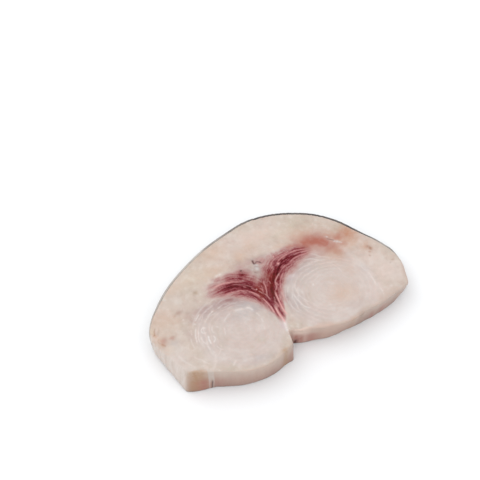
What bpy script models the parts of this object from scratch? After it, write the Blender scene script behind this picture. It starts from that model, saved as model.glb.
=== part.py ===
# Swordfish fillet, raw and skin on: one half-moon slice lying flat on a cut face.
# Metres, +Z up. +X runs along the slice, +Y towards the skin, -Y towards the notch
# where the backbone was. The origin is on the floor, under the middle of the box.

import math

import bmesh
import bpy
from mathutils import Vector, noise

MM = 0.001

# Driving dimensions, in millimetres
LENGTH = 186.0              # tip to tip
WIDTH = 113.0               # front of the left lobe to the crown of the skin
THICKNESS = 20.0            # at the middle of the slice
HALF_LENGTH = LENGTH / 2
HALF_WIDTH = WIDTH / 2

# The knife ran slightly askew, so the slice is thicker at its left end
WEDGE = 3.0                 # thickness gained at the left end and lost at the right
END_DROP = 1.5              # thickness lost at both ends

# Outline of the cut face, anticlockwise from the left tip. Each point is
# (x, y, corner), with x and y as shares of HALF_LENGTH and HALF_WIDTH.
OUTLINE = [
    (-0.984, -0.070, False),    # left tip
    (-0.962, -0.262, False),
    (-0.901, -0.490, False),
    (-0.851, -0.693, True),     # square corner of the left lobe
    (-0.613, -0.868, False),
    (-0.411, -0.990, False),    # front of the left lobe
    (-0.253, -0.974, False),
    (-0.066, -0.848, True),     # step down into the notch
    (-0.046, -0.652, True),     # cleft left by the backbone
    (-0.019, -0.678, True),
    (0.112, -0.760, False),
    (0.292, -0.838, False),
    (0.422, -0.852, False),     # front of the right lobe
    (0.548, -0.805, False),
    (0.704, -0.765, False),
    (0.960, -0.652, True),      # right corner
    (1.007, -0.269, False),     # right tip
    (0.967, 0.002, False),
    (0.830, 0.325, False),
    (0.684, 0.630, False),
    (0.503, 0.836, False),
    (0.135, 0.993, False),      # crown of the skin
    (-0.114, 0.926, False),
    (-0.510, 0.676, False),
    (-0.846, 0.276, False),
]

# The two muscle lobes: (centre x, centre y, radius along x, radius along y)
LEFT_LOBE = (-33.6, -24.7, 30.0, 27.0)
RIGHT_LOBE = (36.4, -21.7, 34.0, 29.0)
LOBE_CROWN = 0.8            # how far each lobe stands up at its middle
FLAKE_SPACING = 5.2         # between the rings of flakes in a lobe
FLAKE_DEPTH = 0.16          # of the rings, from crest to mean
FLAKE_FADE = (0.75, 1.15)   # shares of the lobe's radius over which the rings die out
FLAKE_WANDER = 2.0          # how far the rings stray from true ovals
WANDER_SPAN = 14.0          # length of one stray of the rings

# The seam of red muscle between the lobes, from the cleft to where it forks
SEAM_START = (-4.6, -34.0)
SEAM_END = (-3.6, 2.0)
SEAM_WIDTH = 5.0
SEAM_DEPTH = 0.8

# How far the foot of a wall stands out or in from its upper edge
CORNER_FLARE_X = 2.4        # the square corner spreads outwards
CORNER_FLARE_Y = 3.0
STEP_FLARE = 2.4            # so does the step down into the notch
TIP_TUCK = 1.8              # the left tip draws in
LEFT_LOBE_TUCK = 1.5        # so does the front of the left lobe, at its middle
FRONT_TUCK = 1.6            # all of the right lobe's front draws in,
RIGHT_LOBE_TUCK = 2.4       # and more so at its middle
END_TUCK = 2.0              # the right tip draws in along X
TIP_LIFT = 5.0              # the underside of the right tip clears the floor

# Where each lean begins and where it is full, along X and along Y
CORNER_ALONG_X = ((-60.0, -80.0), (-16.0, -36.0))
CORNER_ALONG_Y = ((-60.0, -76.0), (-14.0, -36.0))
LEFT_TIP = ((-74.0, -88.0), (-24.0, -10.0))
RIGHT_FRONT = ((2.0, 18.0), (-14.0, -36.0))
RIGHT_END = (74.0, 92.0)
RIGHT_TIP = ((76.0, 94.0), (30.0, -10.0))
FRONT_SIDE = (-14.0, -38.0)
STEP_SIDE = (-38.0, -46.0)

# Middle and reach along X of the leans that swell and fade
STEP_SPAN = (-6.0, 5.0)
LEFT_LOBE_SPAN = (-36.0, 13.0)
RIGHT_LOBE_SPAN = (38.0, 10.0)

# Upright flakes in the walls and the slow rise and fall of the cut face
WALL_CRAG = 0.45            # depth of the flakes
CRAG_WIDTH = 5.0
CRAG_HEIGHT = 30.0
WALL_STEEP = (0.25, 0.75)   # upward share of the normal, from wall to face
FACE_UNEVEN = 0.35
UNEVEN_SPAN = 24.0
FACE_START = 0.4            # share of the height from which the face's relief grows

# Softness of the edges, as a share of the full smoothing
SOFT_EVERYWHERE = 0.35
SOFT_FRONT = ((-2.0, 16.0), (-12.0, -34.0))
SOFT_RIGHT = (66.0, 86.0)
SOFT_LEFT = (-70.0, -88.0)
SOFT_LEFT_SHARE = 0.65
SOFTEN_ROUNDS = 12

# Mesh resolution
VOXEL = 1.0
CURVE_STEPS = 10
WELD = 0.01
TRIANGLES = 8600
SHARP_DEGREES = 50


def smooth_step(low, high, value):
    """0 below low, 1 above high and an even curve between them."""
    share = min(max((value - low) / (high - low), 0.0), 1.0)
    return share * share * (3 - 2 * share)


def slice_thickness(x):
    """Thickness of the slice at x."""
    share = x / HALF_LENGTH
    return THICKNESS - WEDGE * share - END_DROP * share * share


def in_region(region, x, y):
    """How far (x, y) is inside a region that fades in along X and along Y."""
    along_x, along_y = region
    return smooth_step(*along_x, x) * smooth_step(*along_y, y)


def wave(x, y, span):
    """A slow random rise and fall between about -1 and 1."""
    return noise.noise(Vector((x / span, y / span, span)))


def lobe_relief(x, y, lobe):
    """Low crown of a muscle lobe, with the rings of its flakes."""
    centre_x, centre_y, radius_x, radius_y = lobe
    reach = math.hypot((x - centre_x) / radius_x, (y - centre_y) / radius_y)
    fade = 1 - smooth_step(*FLAKE_FADE, reach)
    crown = LOBE_CROWN * max(0.0, 1 - reach * reach)
    wander = FLAKE_WANDER * wave(x, y, WANDER_SPAN)
    rings = math.cos(2 * math.pi * (reach * radius_y + wander) / FLAKE_SPACING)
    return crown + FLAKE_DEPTH * rings * fade


def seam_relief(x, y):
    """Groove along the seam between the lobes."""
    along = (y - SEAM_START[1]) / (SEAM_END[1] - SEAM_START[1])
    along = min(max(along, 0.0), 1.0)
    seam_x = SEAM_START[0] + along * (SEAM_END[0] - SEAM_START[0])
    past_end = max(0.0, y - SEAM_END[1])
    away = math.hypot(x - seam_x, past_end)
    return -SEAM_DEPTH * math.exp(-(away / (SEAM_WIDTH / 2)) ** 2)


def face_relief(x, y):
    """Height of the cut face above the plain wedge at (x, y)."""
    return (lobe_relief(x, y, LEFT_LOBE) + lobe_relief(x, y, RIGHT_LOBE)
            + seam_relief(x, y) + FACE_UNEVEN * wave(x, y, UNEVEN_SPAN))


def swell(span, x):
    """1 at the middle of a span, fading on both sides."""
    middle, reach = span
    return math.exp(-((x - middle) / reach) ** 2)


def wall_lean(x, y):
    """Sideways move of the foot of the wall near (x, y)."""
    move_x = TIP_TUCK * in_region(LEFT_TIP, x, y) - CORNER_FLARE_X * in_region(CORNER_ALONG_X, x, y)
    move_x -= END_TUCK * smooth_step(*RIGHT_END, x)
    front = smooth_step(*FRONT_SIDE, y)
    move_y = FRONT_TUCK * in_region(RIGHT_FRONT, x, y) - CORNER_FLARE_Y * in_region(CORNER_ALONG_Y, x, y)
    move_y += LEFT_LOBE_TUCK * swell(LEFT_LOBE_SPAN, x) * front
    move_y += RIGHT_LOBE_TUCK * swell(RIGHT_LOBE_SPAN, x) * front
    move_y -= STEP_FLARE * swell(STEP_SPAN, x) * smooth_step(*STEP_SIDE, y)
    return move_x, move_y


def new_material(name, colour, roughness):
    material = bpy.data.materials.new(name)
    material.use_nodes = True
    shader = material.node_tree.nodes["Principled BSDF"]
    shader.inputs["Base Color"].default_value = (*colour, 1.0)
    shader.inputs["Roughness"].default_value = roughness
    shader.inputs["Metallic"].default_value = 0.0
    return material


def new_outline():
    """The flat outline, filled and extruded to the plain thickness."""
    data = bpy.data.curves.new("outline", "CURVE")
    data.dimensions = "2D"
    data.fill_mode = "BOTH"
    data.resolution_u = CURVE_STEPS
    data.extrude = THICKNESS * MM / 2
    spline = data.splines.new("BEZIER")
    spline.bezier_points.add(len(OUTLINE) - 1)
    spline.use_cyclic_u = True
    for point, (share_x, share_y, corner) in zip(spline.bezier_points, OUTLINE):
        point.co = (share_x * HALF_LENGTH * MM, share_y * HALF_WIDTH * MM, 0)
        kind = "VECTOR" if corner else "AUTO"
        point.handle_left_type = kind
        point.handle_right_type = kind
    outline = bpy.data.objects.new("outline", data)
    outline.location.z = THICKNESS * MM / 2
    bpy.context.scene.collection.objects.link(outline)
    return outline


def mesh_from(source, name):
    """A welded mesh of the evaluated source in world space, and the source removed."""
    bpy.context.view_layer.update()
    graph = bpy.context.evaluated_depsgraph_get()
    mesh = bpy.data.meshes.new_from_object(source.evaluated_get(graph))
    mesh.name = name
    mesh.transform(source.matrix_world)
    work = bmesh.new()
    work.from_mesh(mesh)
    bmesh.ops.remove_doubles(work, verts=work.verts, dist=WELD * MM)
    bmesh.ops.recalc_face_normals(work, faces=work.faces)
    work.to_mesh(mesh)
    work.free()
    bpy.data.objects.remove(source)
    return mesh


def even_mesh(mesh, name):
    """The same body with small even faces that can take relief."""
    plain = bpy.data.objects.new("plain", mesh)
    bpy.context.scene.collection.objects.link(plain)
    remesh = plain.modifiers.new("Even faces", "REMESH")
    remesh.mode = "VOXEL"
    remesh.voxel_size = VOXEL * MM
    return mesh_from(plain, name)


def sculpt(mesh):
    """Wedge, relief of the cut face, flakes in the walls and lean of the walls."""
    places = [vertex.co / MM for vertex in mesh.vertices]
    normals = [vertex.normal.copy() for vertex in mesh.vertices]
    for vertex, place, normal in zip(mesh.vertices, places, normals):
        x, y, z = place
        share = min(max(z / THICKNESS, 0.0), 1.0)
        upright = 1 - smooth_step(*WALL_STEEP, abs(normal.z))
        flake = noise.noise(Vector((x / CRAG_WIDTH, y / CRAG_WIDTH, z / CRAG_HEIGHT)))
        crag = WALL_CRAG * flake * upright
        lean_x, lean_y = wall_lean(x, y)
        foot = 1 - share
        relief = face_relief(x, y) * smooth_step(FACE_START, 1.0, share)
        height = share * slice_thickness(x) + relief
        height += TIP_LIFT * in_region(RIGHT_TIP, x, y) * foot * foot
        vertex.co.x = (x + lean_x * foot + normal.x * crag) * MM
        vertex.co.y = (y + lean_y * foot + normal.y * crag) * MM
        vertex.co.z = height * MM


def soft_edge_weight(x, y):
    """Where the edges of the cut face are soft: the right lobe and both tips."""
    front = in_region(SOFT_FRONT, x, y)
    right = smooth_step(*SOFT_RIGHT, x)
    left = SOFT_LEFT_SHARE * smooth_step(*SOFT_LEFT, x)
    return min(1.0, SOFT_EVERYWHERE + max(front, right, left))


def centre_on_floor(mesh):
    """Moves the mesh so that the origin is under the middle of its box."""
    lows = [min(vertex.co[axis] for vertex in mesh.vertices) for axis in range(3)]
    highs = [max(vertex.co[axis] for vertex in mesh.vertices) for axis in range(3)]
    middle_x = (lows[0] + highs[0]) / 2
    middle_y = (lows[1] + highs[1]) / 2
    for vertex in mesh.vertices:
        vertex.co.x -= middle_x
        vertex.co.y -= middle_y
        vertex.co.z -= lows[2]


def new_fillet(collection):
    """The whole slice as one object, softened and thinned to a light mesh."""
    mesh = even_mesh(mesh_from(new_outline(), "outline"), "swordfish_fillet")
    sculpt(mesh)
    fillet = bpy.data.objects.new("swordfish_fillet", mesh)
    collection.objects.link(fillet)
    edges = fillet.vertex_groups.new(name="soft_edges")
    for vertex in mesh.vertices:
        weight = soft_edge_weight(vertex.co.x / MM, vertex.co.y / MM)
        edges.add([vertex.index], weight, "REPLACE")
    soften = fillet.modifiers.new("Soft edges", "SMOOTH")
    soften.factor = 0.5
    soften.iterations = SOFTEN_ROUNDS
    soften.vertex_group = edges.name
    thin = fillet.modifiers.new("Light mesh", "DECIMATE")
    thin.ratio = TRIANGLES / (2 * len(mesh.polygons))
    finished = mesh_from(fillet, "swordfish_fillet")
    centre_on_floor(finished)
    finished.shade_smooth()
    finished.set_sharp_from_angle(angle=math.radians(SHARP_DEGREES))
    finished.materials.append(new_material("raw_flesh", (0.66, 0.55, 0.49), 0.45))
    fillet = bpy.data.objects.new("swordfish_fillet", finished)
    collection.objects.link(fillet)
    return fillet


for old in list(bpy.data.objects):
    bpy.data.objects.remove(old)

fillet_collection = bpy.data.collections.new("Swordfish fillet")
bpy.context.scene.collection.children.link(fillet_collection)
new_fillet(fillet_collection)
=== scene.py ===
# Raw swordfish slice on a pale table: a fine flesh piece with its two muscle lobes, rings of
# flakes and forked seam of red muscle, and the thin dark skin along its curved edge.
# Lengths are in millimetres until they go into a mesh.

import math

import bpy
import numpy as np
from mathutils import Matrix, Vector, noise


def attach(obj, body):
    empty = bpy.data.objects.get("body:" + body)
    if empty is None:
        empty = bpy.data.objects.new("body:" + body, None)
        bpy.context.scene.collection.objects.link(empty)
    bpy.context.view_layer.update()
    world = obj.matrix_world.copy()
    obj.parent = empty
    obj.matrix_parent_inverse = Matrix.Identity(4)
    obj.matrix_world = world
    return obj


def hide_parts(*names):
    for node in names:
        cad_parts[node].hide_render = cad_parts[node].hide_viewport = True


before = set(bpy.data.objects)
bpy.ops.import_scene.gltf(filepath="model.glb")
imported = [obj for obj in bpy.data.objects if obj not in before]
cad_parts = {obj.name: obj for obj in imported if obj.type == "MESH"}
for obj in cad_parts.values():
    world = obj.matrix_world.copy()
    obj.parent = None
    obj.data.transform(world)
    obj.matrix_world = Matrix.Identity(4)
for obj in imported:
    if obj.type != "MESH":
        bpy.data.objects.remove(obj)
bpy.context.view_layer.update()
mm = 0.001
print("frame loaded:", sorted(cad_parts))


# Shape of the slice. Outline points are (x share, y share, corner), as shares of half the
# length and half the width, anticlockwise from the left tip.
sliceValues = {
    "halfLength": 93.0,
    "halfWidth": 56.5,
    "thickness": 20.0,
    "wedge": 3.0,               # thicker at the left end, thinner at the right
    "endDrop": 1.5,
    "outline": [
        (-0.984, -0.070, False),    # left tip
        (-0.962, -0.262, False),
        (-0.901, -0.490, False),
        (-0.851, -0.693, True),     # square corner of the left lobe
        (-0.613, -0.868, False),
        (-0.411, -0.990, False),    # front of the left lobe
        (-0.253, -0.974, False),
        (-0.066, -0.848, True),     # step down into the notch
        (-0.046, -0.652, True),     # cleft left by the backbone
        (-0.019, -0.678, True),
        (0.112, -0.760, False),
        (0.292, -0.838, False),
        (0.422, -0.852, False),     # front of the right lobe
        (0.548, -0.805, False),
        (0.704, -0.765, False),
        (0.960, -0.652, True),      # right corner
        (1.007, -0.269, False),     # right tip
        (0.967, 0.002, False),
        (0.830, 0.325, False),
        (0.684, 0.630, False),
        (0.503, 0.836, False),
        (0.135, 0.993, False),      # crown of the skin
        (-0.114, 0.926, False),
        (-0.510, 0.676, False),
        (-0.846, 0.276, False),
    ],
    "place": (0.35, 0.36),      # of the outline among the marks drawn below
    "settle": (-1.42, -0.43),   # from the drawing to the frame, once a piece is made
    "curveSteps": 12,
    "voxel": 0.5,
    "triangles": 190000,
    # how far the foot of a wall stands out or in from its upper edge
    "cornerFlare": (2.4, 3.0),
    "stepFlare": 2.4,
    "tipTuck": 1.8,
    "leftLobeTuck": 1.5,
    "frontTuck": 1.6,
    "rightLobeTuck": 2.4,
    "endTuck": 2.0,
    "tipLift": 5.0,             # of the underside at the right tip
    # where each begins and is full along x and y, or its middle and reach along x
    "cornerAlongX": ((-60, -80), (-16, -36)),
    "cornerAlongY": ((-60, -76), (-14, -36)),
    "leftTip": ((-74, -88), (-24, -10)),
    "rightFront": ((2, 18), (-14, -36)),
    "rightEnd": (74, 92),
    "rightTip": ((76, 94), (30, -10)),
    "frontSide": (-14, -38),
    "stepSide": (-38, -46),
    "stepSpan": (-6, 5),
    "leftLobeSpan": (-36, 13),
    "rightLobeSpan": (38, 10),
    "smoothing": 0.5,
    "softRounds": 40,
    "softFace": 0.12,           # share of the softening that the faces get
    "softSkinEdge": 0.08,
    "softCutEdge": 0.62,
    "softBand": (3.0, 9.0),     # distance from the edge over which it fades
    "softCutSide": (6, -10),
    "softFront": ((0, 16), (-12, -34)),
    "softRight": (66, 86),
    "softLeft": ((-68, -84), (10, -6)),
    "roundRounds": 110,         # of a second softening, which rounds the two ends
    "roundBand": (4.0, 12.0),
    "roundLeft": ((-70, -82), (-39, -31), (12, 4)),
    "roundRight": (80, 92),
    "roundRightShare": 0.6,
    "roundNotch": ((4, 7), (-32, -36), (0.35, 0.75)),
    "weld": 0.01,
    "thinBelow": (0.6, 0.9),    # share of the height under which the faces are thinned
    "thinSpared": 0.9,
}

# The skin: a thin strip on the curved edge, from the right tip to the left one
skinValues = {
    "outlineRun": (16, 25),     # outline points that it runs between
    "thickness": 1.6,
    "bedded": 0.15,             # how far it sinks into the flesh
    "step": 0.6,                # between columns
    "rows": 30,
    "start": 0.3,               # how far outside the edge it starts before it is wrapped on
    "footGap": 0.15,
    "rimDrop": 1.3,             # of its upper rim below the cut face, where the edge is soft
    "softRim": (0.35, 1),       # softening of the edge over which that drop begins and is full
    "taper": (12.0, 34.0),      # over which it thins at the right and left end
    "thinnest": 0.3,
    "ragged": 3.0,              # how unevenly it ends, up and down the wall
    "raggedReach": 10,
    "raggedSpan": 0.3,
}

# Relief of the cut face and of the walls
reliefValues = {
    "start": 0.4,               # share of the height from which the face's relief grows
    "lobeCrown": 0.8,
    "ringDepth": 0.07,
    "ringSpacing": (3.3, 3.0),  # left and right lobe
    "ringFade": (0.8, 1.15),
    "ringWander": 2,
    "ringWanderSpan": 14,
    "unevenHeight": 0.35,
    "unevenSpan": 24,
    "fineUneven": 0.10,
    "fineSpan": 5,
    "seamDepth": 0.8,
    "seamWidth": 5.0,
    "seamStart": (-4.6, -34),
    "seamEnd": (-3.6, 2),
    "fibreDepth": 0.16,
    "fibrePitch": 1.5,
    "fibreStretch": 0.1,
    "redSink": 0.25,
    "crackDepth": 0.35,
    "paleRise": 0.16,
    "pinkRise": 0.12,
    "fatRise": 0.35,
    "cragDepth": 0.4,
    "cragWidth": 5,
    "cragHeight": 30,
    "fineCragDepth": 0.1,
    "fineCragWidth": 1.6,
    "cragLevel": (0.25, 0.75),  # how level a face is where the crags fade and where they end
    "cragSkinSide": (-4, 6),
}

# The two muscle lobes: centre x and y, radius along x and along y
leftLobe = (-33.6, -24.7, 30.0, 27.0)
rightLobe = (36.4, -21.7, 34.0, 29.0)

# Red muscle, as two bundles of fibres side by side in the stem that part at the fork.
# Each point is (x, y, reach to the left of the run, reach to its right, strength).
leftBundle = [
    (-5.4, -30.0, 1.8, 1.6, 0.1),
    (-5.8, -26.5, 2.6, 2.2, 0.3),
    (-5.8, -22.0, 3.4, 2.6, 0.5),
    (-6.3, -15.0, 6.6, 3.0, 0.78),
    (-7.6, -8.0, 8.0, 4.5, 1.0),
    (-10.2, -2.0, 10.4, 8.0, 1.0),
    (-14.0, 3.4, 11.2, 11.5, 1.0),
    (-19.0, 7.4, 11.6, 15.0, 0.95),
    (-25.0, 9.4, 9.8, 11.0, 0.92),
    (-31.0, 9.8, 8.0, 8.6, 0.84),
    (-37.0, 9.6, 6.2, 6.4, 0.56),
    (-42.0, 9.2, 5.0, 5.0, 0.24),
    (-48.0, 8.0, 4.5, 4.5, 0.0),
]
rightBundle = [
    (-3.4, -30.0, 1.4, 1.4, 0.1),
    (-2.6, -26.0, 2.0, 2.4, 0.42),
    (-2.3, -22.0, 2.4, 3.0, 0.68),
    (-1.7, -15.0, 3.0, 5.0, 0.9),
    (-0.6, -8.0, 4.2, 6.8, 1.0),
    (1.6, -2.0, 6.5, 7.6, 1.0),
    (5.0, 3.8, 9.8, 8.0, 1.0),
    (9.0, 8.4, 12.4, 9.6, 1.0),
    (13.5, 12.0, 11.8, 11.8, 0.98),
    (18.5, 14.4, 10.4, 11.8, 0.96),
    (24.0, 16.0, 9.6, 10.0, 0.92),
    (29.0, 16.8, 8.6, 8.8, 0.86),
    (33.5, 16.8, 8.2, 7.2, 0.7),
    (38.0, 16.4, 7.6, 6.6, 0.32),
    (42.5, 15.2, 6.0, 6.0, 0.0),
]
# Loose patches of it beside the bundles, and the warmer red of the fork
redPatches = [
    (-5, -5, 4.5, 7, 1.0), (-4.5, -12, 3.5, 6, 0.85), (-5.4, 2, 4.8, 4.6, 1.0), (-2.4, 6, 4, 3.4, 0.8),
    (-15, 14.5, 6, 5, 1.0), (-22, 16, 8, 4, 0.75), (4, 11.5, 5, 5, 0.85), (2.4, 20.4, 4.6, 3.4, 0.42),
    (22, 20, 9, 2.8, 0.4), (10, 18, 7, 3.6, 0.5), (-34, 14.5, 8, 3.4, 0.4), (7, 1.6, 4, 4.4, 1.0),
    (19, 9.6, 5, 2.2, 0.5), (-9.6, 9.6, 4, 3, 0.72), (0.6, 9.6, 3.4, 3, 0.6), (0, 3, 4, 4, 0.85),
    (-12.6, 22, 3.6, 3, 0.22), (-6, 22.6, 4, 3, 0.16), (-31, 18.4, 4, 2.4, 0.4), (-34, 20, 3, 2, 0.2),
    (-13, 11.4, 4, 2.4, 0.9),
]
warmRedPatches = [
    (-8.8, 1.6, 2.2, 2.8, 1.0), (-9.5, -2.5, 2.2, 3, 0.8), (2.4, 7, 4.4, 5, 0.85), (-5, 3, 2.6, 3.4, 0.8),
    (-13, 15, 3, 3, 0.3), (36, 19, 4, 3, 0.6), (0, 0.6, 3, 3.4, 0.7), (-8, 8, 3, 2.4, 0.4),
    (-7.8, -2, 3.4, 4, 1.0), (-9.6, -6, 2.4, 3.4, 0.9), (-0.6, -5.4, 2.6, 3.6, 0.5), (-3.6, 1, 3, 3, 0.7),
]

# Single strokes: (half width, strength, points). Both ends taper over a share of the stroke.
strokeTaper = 0.15
strokeEnd = 0.2                 # share of the strength that is left at the ends
# Pink lines of tissue in the red muscle, with painted glints (highlights) among them
pinkLineAndGlintStrokes = [
    (0.55, 0.6, [(-38, 13.2), (-34, 14), (-30, 14.2), (-26, 13.8), (-22, 12.8), (-17.5, 10.4)]),
    (0.4, 0.45, [(-33, 4.8), (-30, 5.2), (-27, 5.2), (-22, 4.5), (-18, 3), (-14, 0.4)]),
    (0.35, 0.3, [(-24, 3.0), (-21, 2.6), (-17, 0.8), (-14, -2)]),
    (0.45, 0.8, [(-16, 1.5), (-14, -0.2), (-12, -2.6), (-10.2, -6)]),
    (0.45, 0.9, [(-10, -6.4), (-8.8, -9.4), (-7.8, -14), (-7.1, -17.2), (-7, -22)]),
    (0.6, 1.0, [(-4.3, -16.5), (-4.6, -20), (-4.5, -24), (-3.8, -28), (-3.8, -31)]),
    (0.5, 1.0, [(0.8, -5.4), (0.2, -9.3), (-0.3, -15.7), (-0.5, -21.3), (0.3, -27)]),
    (0.35, 0.45, [(2.8, -8), (1.6, -12), (1.0, -17), (1.1, -22)]),
    (0.4, 0.8, [(1.4, -5.6), (3.2, -3.1), (4.7, 1.6), (8.6, 5.3), (11, 7)]),
    (0.35, 0.4, [(10.4, 6.6), (14, 9), (22, 11)]),
    (0.6, 0.5, [(-3, -12), (-2.3, -15.4), (-2.2, -18.4)]),
    (0.35, 0.5, [(4.6, -6.5), (6.6, -2), (9.4, 2.6), (13, 6.2)]),
    (0.8, 0.25, [(5.5, -5), (4.5, -12), (4, -18)]),
    (0.35, 0.8, [(-3.2, 5.4), (-3.1, 1.6), (-3.7, -1), (-4.6, -4), (-5.5, -6.7), (-4.9, -10.7)]),
    (0.35, 0.4, [(-7.5, -5), (-6.2, -1), (-5.6, 3)]),
    # painted glints (highlights) on the right arm and at the fork
    (0.75, 1.0, [(12.2, 13.5), (13.6, 14.5)]),
    (0.45, 0.9, [(-10.6, 0.2), (-9.7, 1.1)]),
    (0.4, 0.8, [(12, 20), (12.9, 21)]),
    (0.45, 0.55, [(12, 14.8), (17, 17.4), (23, 18.8), (30, 18.8), (37, 17.2)]),
    (0.35, 0.4, [(8, 3), (11, 7.0), (16, 10.2), (24, 11.4)]),
    (0.4, 0.5, [(20, 11.6), (27, 14), (36, 14)]),
    (0.35, 0.35, [(6, 12.5), (10, 17), (17, 19.6), (26, 20)]),
    (0.35, 0.35, [(-24, 11.2), (-19, 9), (-14, 5.6), (-11, 2.6)]),
    (0.4, 0.5, [(25, 16.2), (31, 16.6), (37, 15.6)]),
    # short painted glints (highlights) where the bundles part
    (0.35, 0.7, [(-9.4, -1), (-8.4, -2.6), (-7.8, -4)]),
    (0.3, 0.6, [(-7.6, 0.6), (-6.8, -1), (-6.4, -2.4)]),
    (0.35, 0.7, [(-6.6, -4.4), (-6, -6), (-5.8, -7.4)]),
    (0.3, 0.5, [(0.2, 4.2), (0.8, 2.6), (0.6, 1)]),
    (0.3, 0.6, [(5.4, -2.4), (4.8, -0.6), (4.9, 0.8)]),
    (0.3, 0.5, [(-1.6, -9.4), (-2, -11), (-2, -12.6)]),
    (0.3, 0.6, [(-13, 3), (-11.8, 1.8), (-10.8, 0.4)]),
    (0.3, 0.5, [(-17.6, 6.4), (-15.8, 5.2)]),
    (0.3, 0.5, [(7, 12), (8.8, 13.8)]),
    (0.3, 0.5, [(17.2, 16), (20, 17)]),
    (0.3, 0.5, [(23.4, 18.8), (26.4, 19.2)]),
]
# Darkest runs of the red muscle, broad ones and single fibres
coreStrokes = [
    (2.8, 0.6, [(-34, 9.2), (-28, 9.6), (-22, 9), (-17, 7), (-13, 4), (-10, 0), (-7.6, -4)]),
    (2.2, 1.0, [(-3, -16), (-2.6, -11), (-2.2, -7), (-0.2, -2), (3, 2.2), (6.2, 6.2)]),
    (2.6, 0.6, [(-10, 1), (-8, -3), (-5.6, -7), (-4.4, -11)]),
    (2.2, 0.65, [(4.4, 4), (8, 8), (13, 11.6)]),
    (1.8, 0.35, [(13, 11.6), (17, 13), (21, 14), (25, 14.6)]),
    (0.8, 0.5, [(4.4, -5.6), (5.8, -2.6), (7.8, 0.8)]),
    (1.2, 0.4, [(20, 14), (26, 14.8), (32, 15.6)]),
    (2.6, 0.25, [(-18, 12.5), (-14.6, 14), (-12.6, 16)]),
    (1.8, 0.5, [(4.6, -1), (7.6, 3.4), (12, 7.6), (17, 10)]),
    (0.7, 0.9, [(-6.4, -8), (-6.2, -13), (-5.7, -19), (-5.6, -26.5)]),
    (0.7, 0.7, [(-2.6, -6), (-3.2, -12)]),
    (0.6, 0.8, [(-3.2, -18), (-2.4, -24), (-2.2, -27)]),
    (2.4, 1.0, [(-2, -8), (-1.8, -3), (-2.4, 1)]),
    (0.5, 0.6, [(0.8, -13), (0.6, -19), (0.5, -25)]),
    (0.6, 0.6, [(-34, 6.8), (-28, 7), (-22, 6.4), (-17, 4), (-13, 1), (-10.4, -3), (-8.8, -6.5)]),
    (0.6, 0.6, [(-30, 11.4), (-25, 11.6), (-20, 10.4), (-16, 8)]),
    (0.7, 0.8, [(5.4, 4.6), (8.4, 8.2), (12, 11.2), (16, 13)]),
    (0.6, 0.6, [(14, 13.6), (19, 15.4), (25, 16.2), (31, 16.2)]),
    (0.45, 0.7, [(24, 17.6), (30, 17.8), (36.5, 16.4)]),
    (0.45, 0.7, [(23, 20.2), (29, 20.4), (36, 19)]),
    (0.4, 0.6, [(25, 14.8), (30, 15.4), (35.5, 14.6)]),
    (0.5, 0.5, [(-30, 2.2), (-25, 2.6), (-20, 1.2), (-16, -1.4)]),
    (0.5, 0.4, [(-26, 0.2), (-21, -0.6), (-17, -3), (-14, -6.4)]),
    (0.6, 0.6, [(-32, 11.6), (-25, 11.6), (-19, 9.6), (-14.5, 6.4)]),
    (0.7, 0.6, [(-28, 1.6), (-22, 1.2), (-18, -0.6), (-14.6, -3.4), (-12, -7), (-10.4, -11)]),
    (0.5, 0.6, [(3.4, -5.8), (5.6, -1.2), (8.4, 3.6), (12.4, 7.6), (17, 9.8), (21, 9.4)]),
    (0.5, 0.5, [(8.6, 12.4), (14, 15.4), (20, 17), (26, 17.4)]),
    (0.5, 0.4, [(4.6, 12.6), (8.4, 17), (14, 19.4), (21, 20.8)]),
    (0.45, 0.4, [(-18, 16.5), (-17.2, 12.5)]),
    (0.45, 0.4, [(-13.4, 16.5), (-12.6, 12)]),
    (0.45, 0.4, [(-22, 16.5), (-21, 13.5)]),
]
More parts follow.
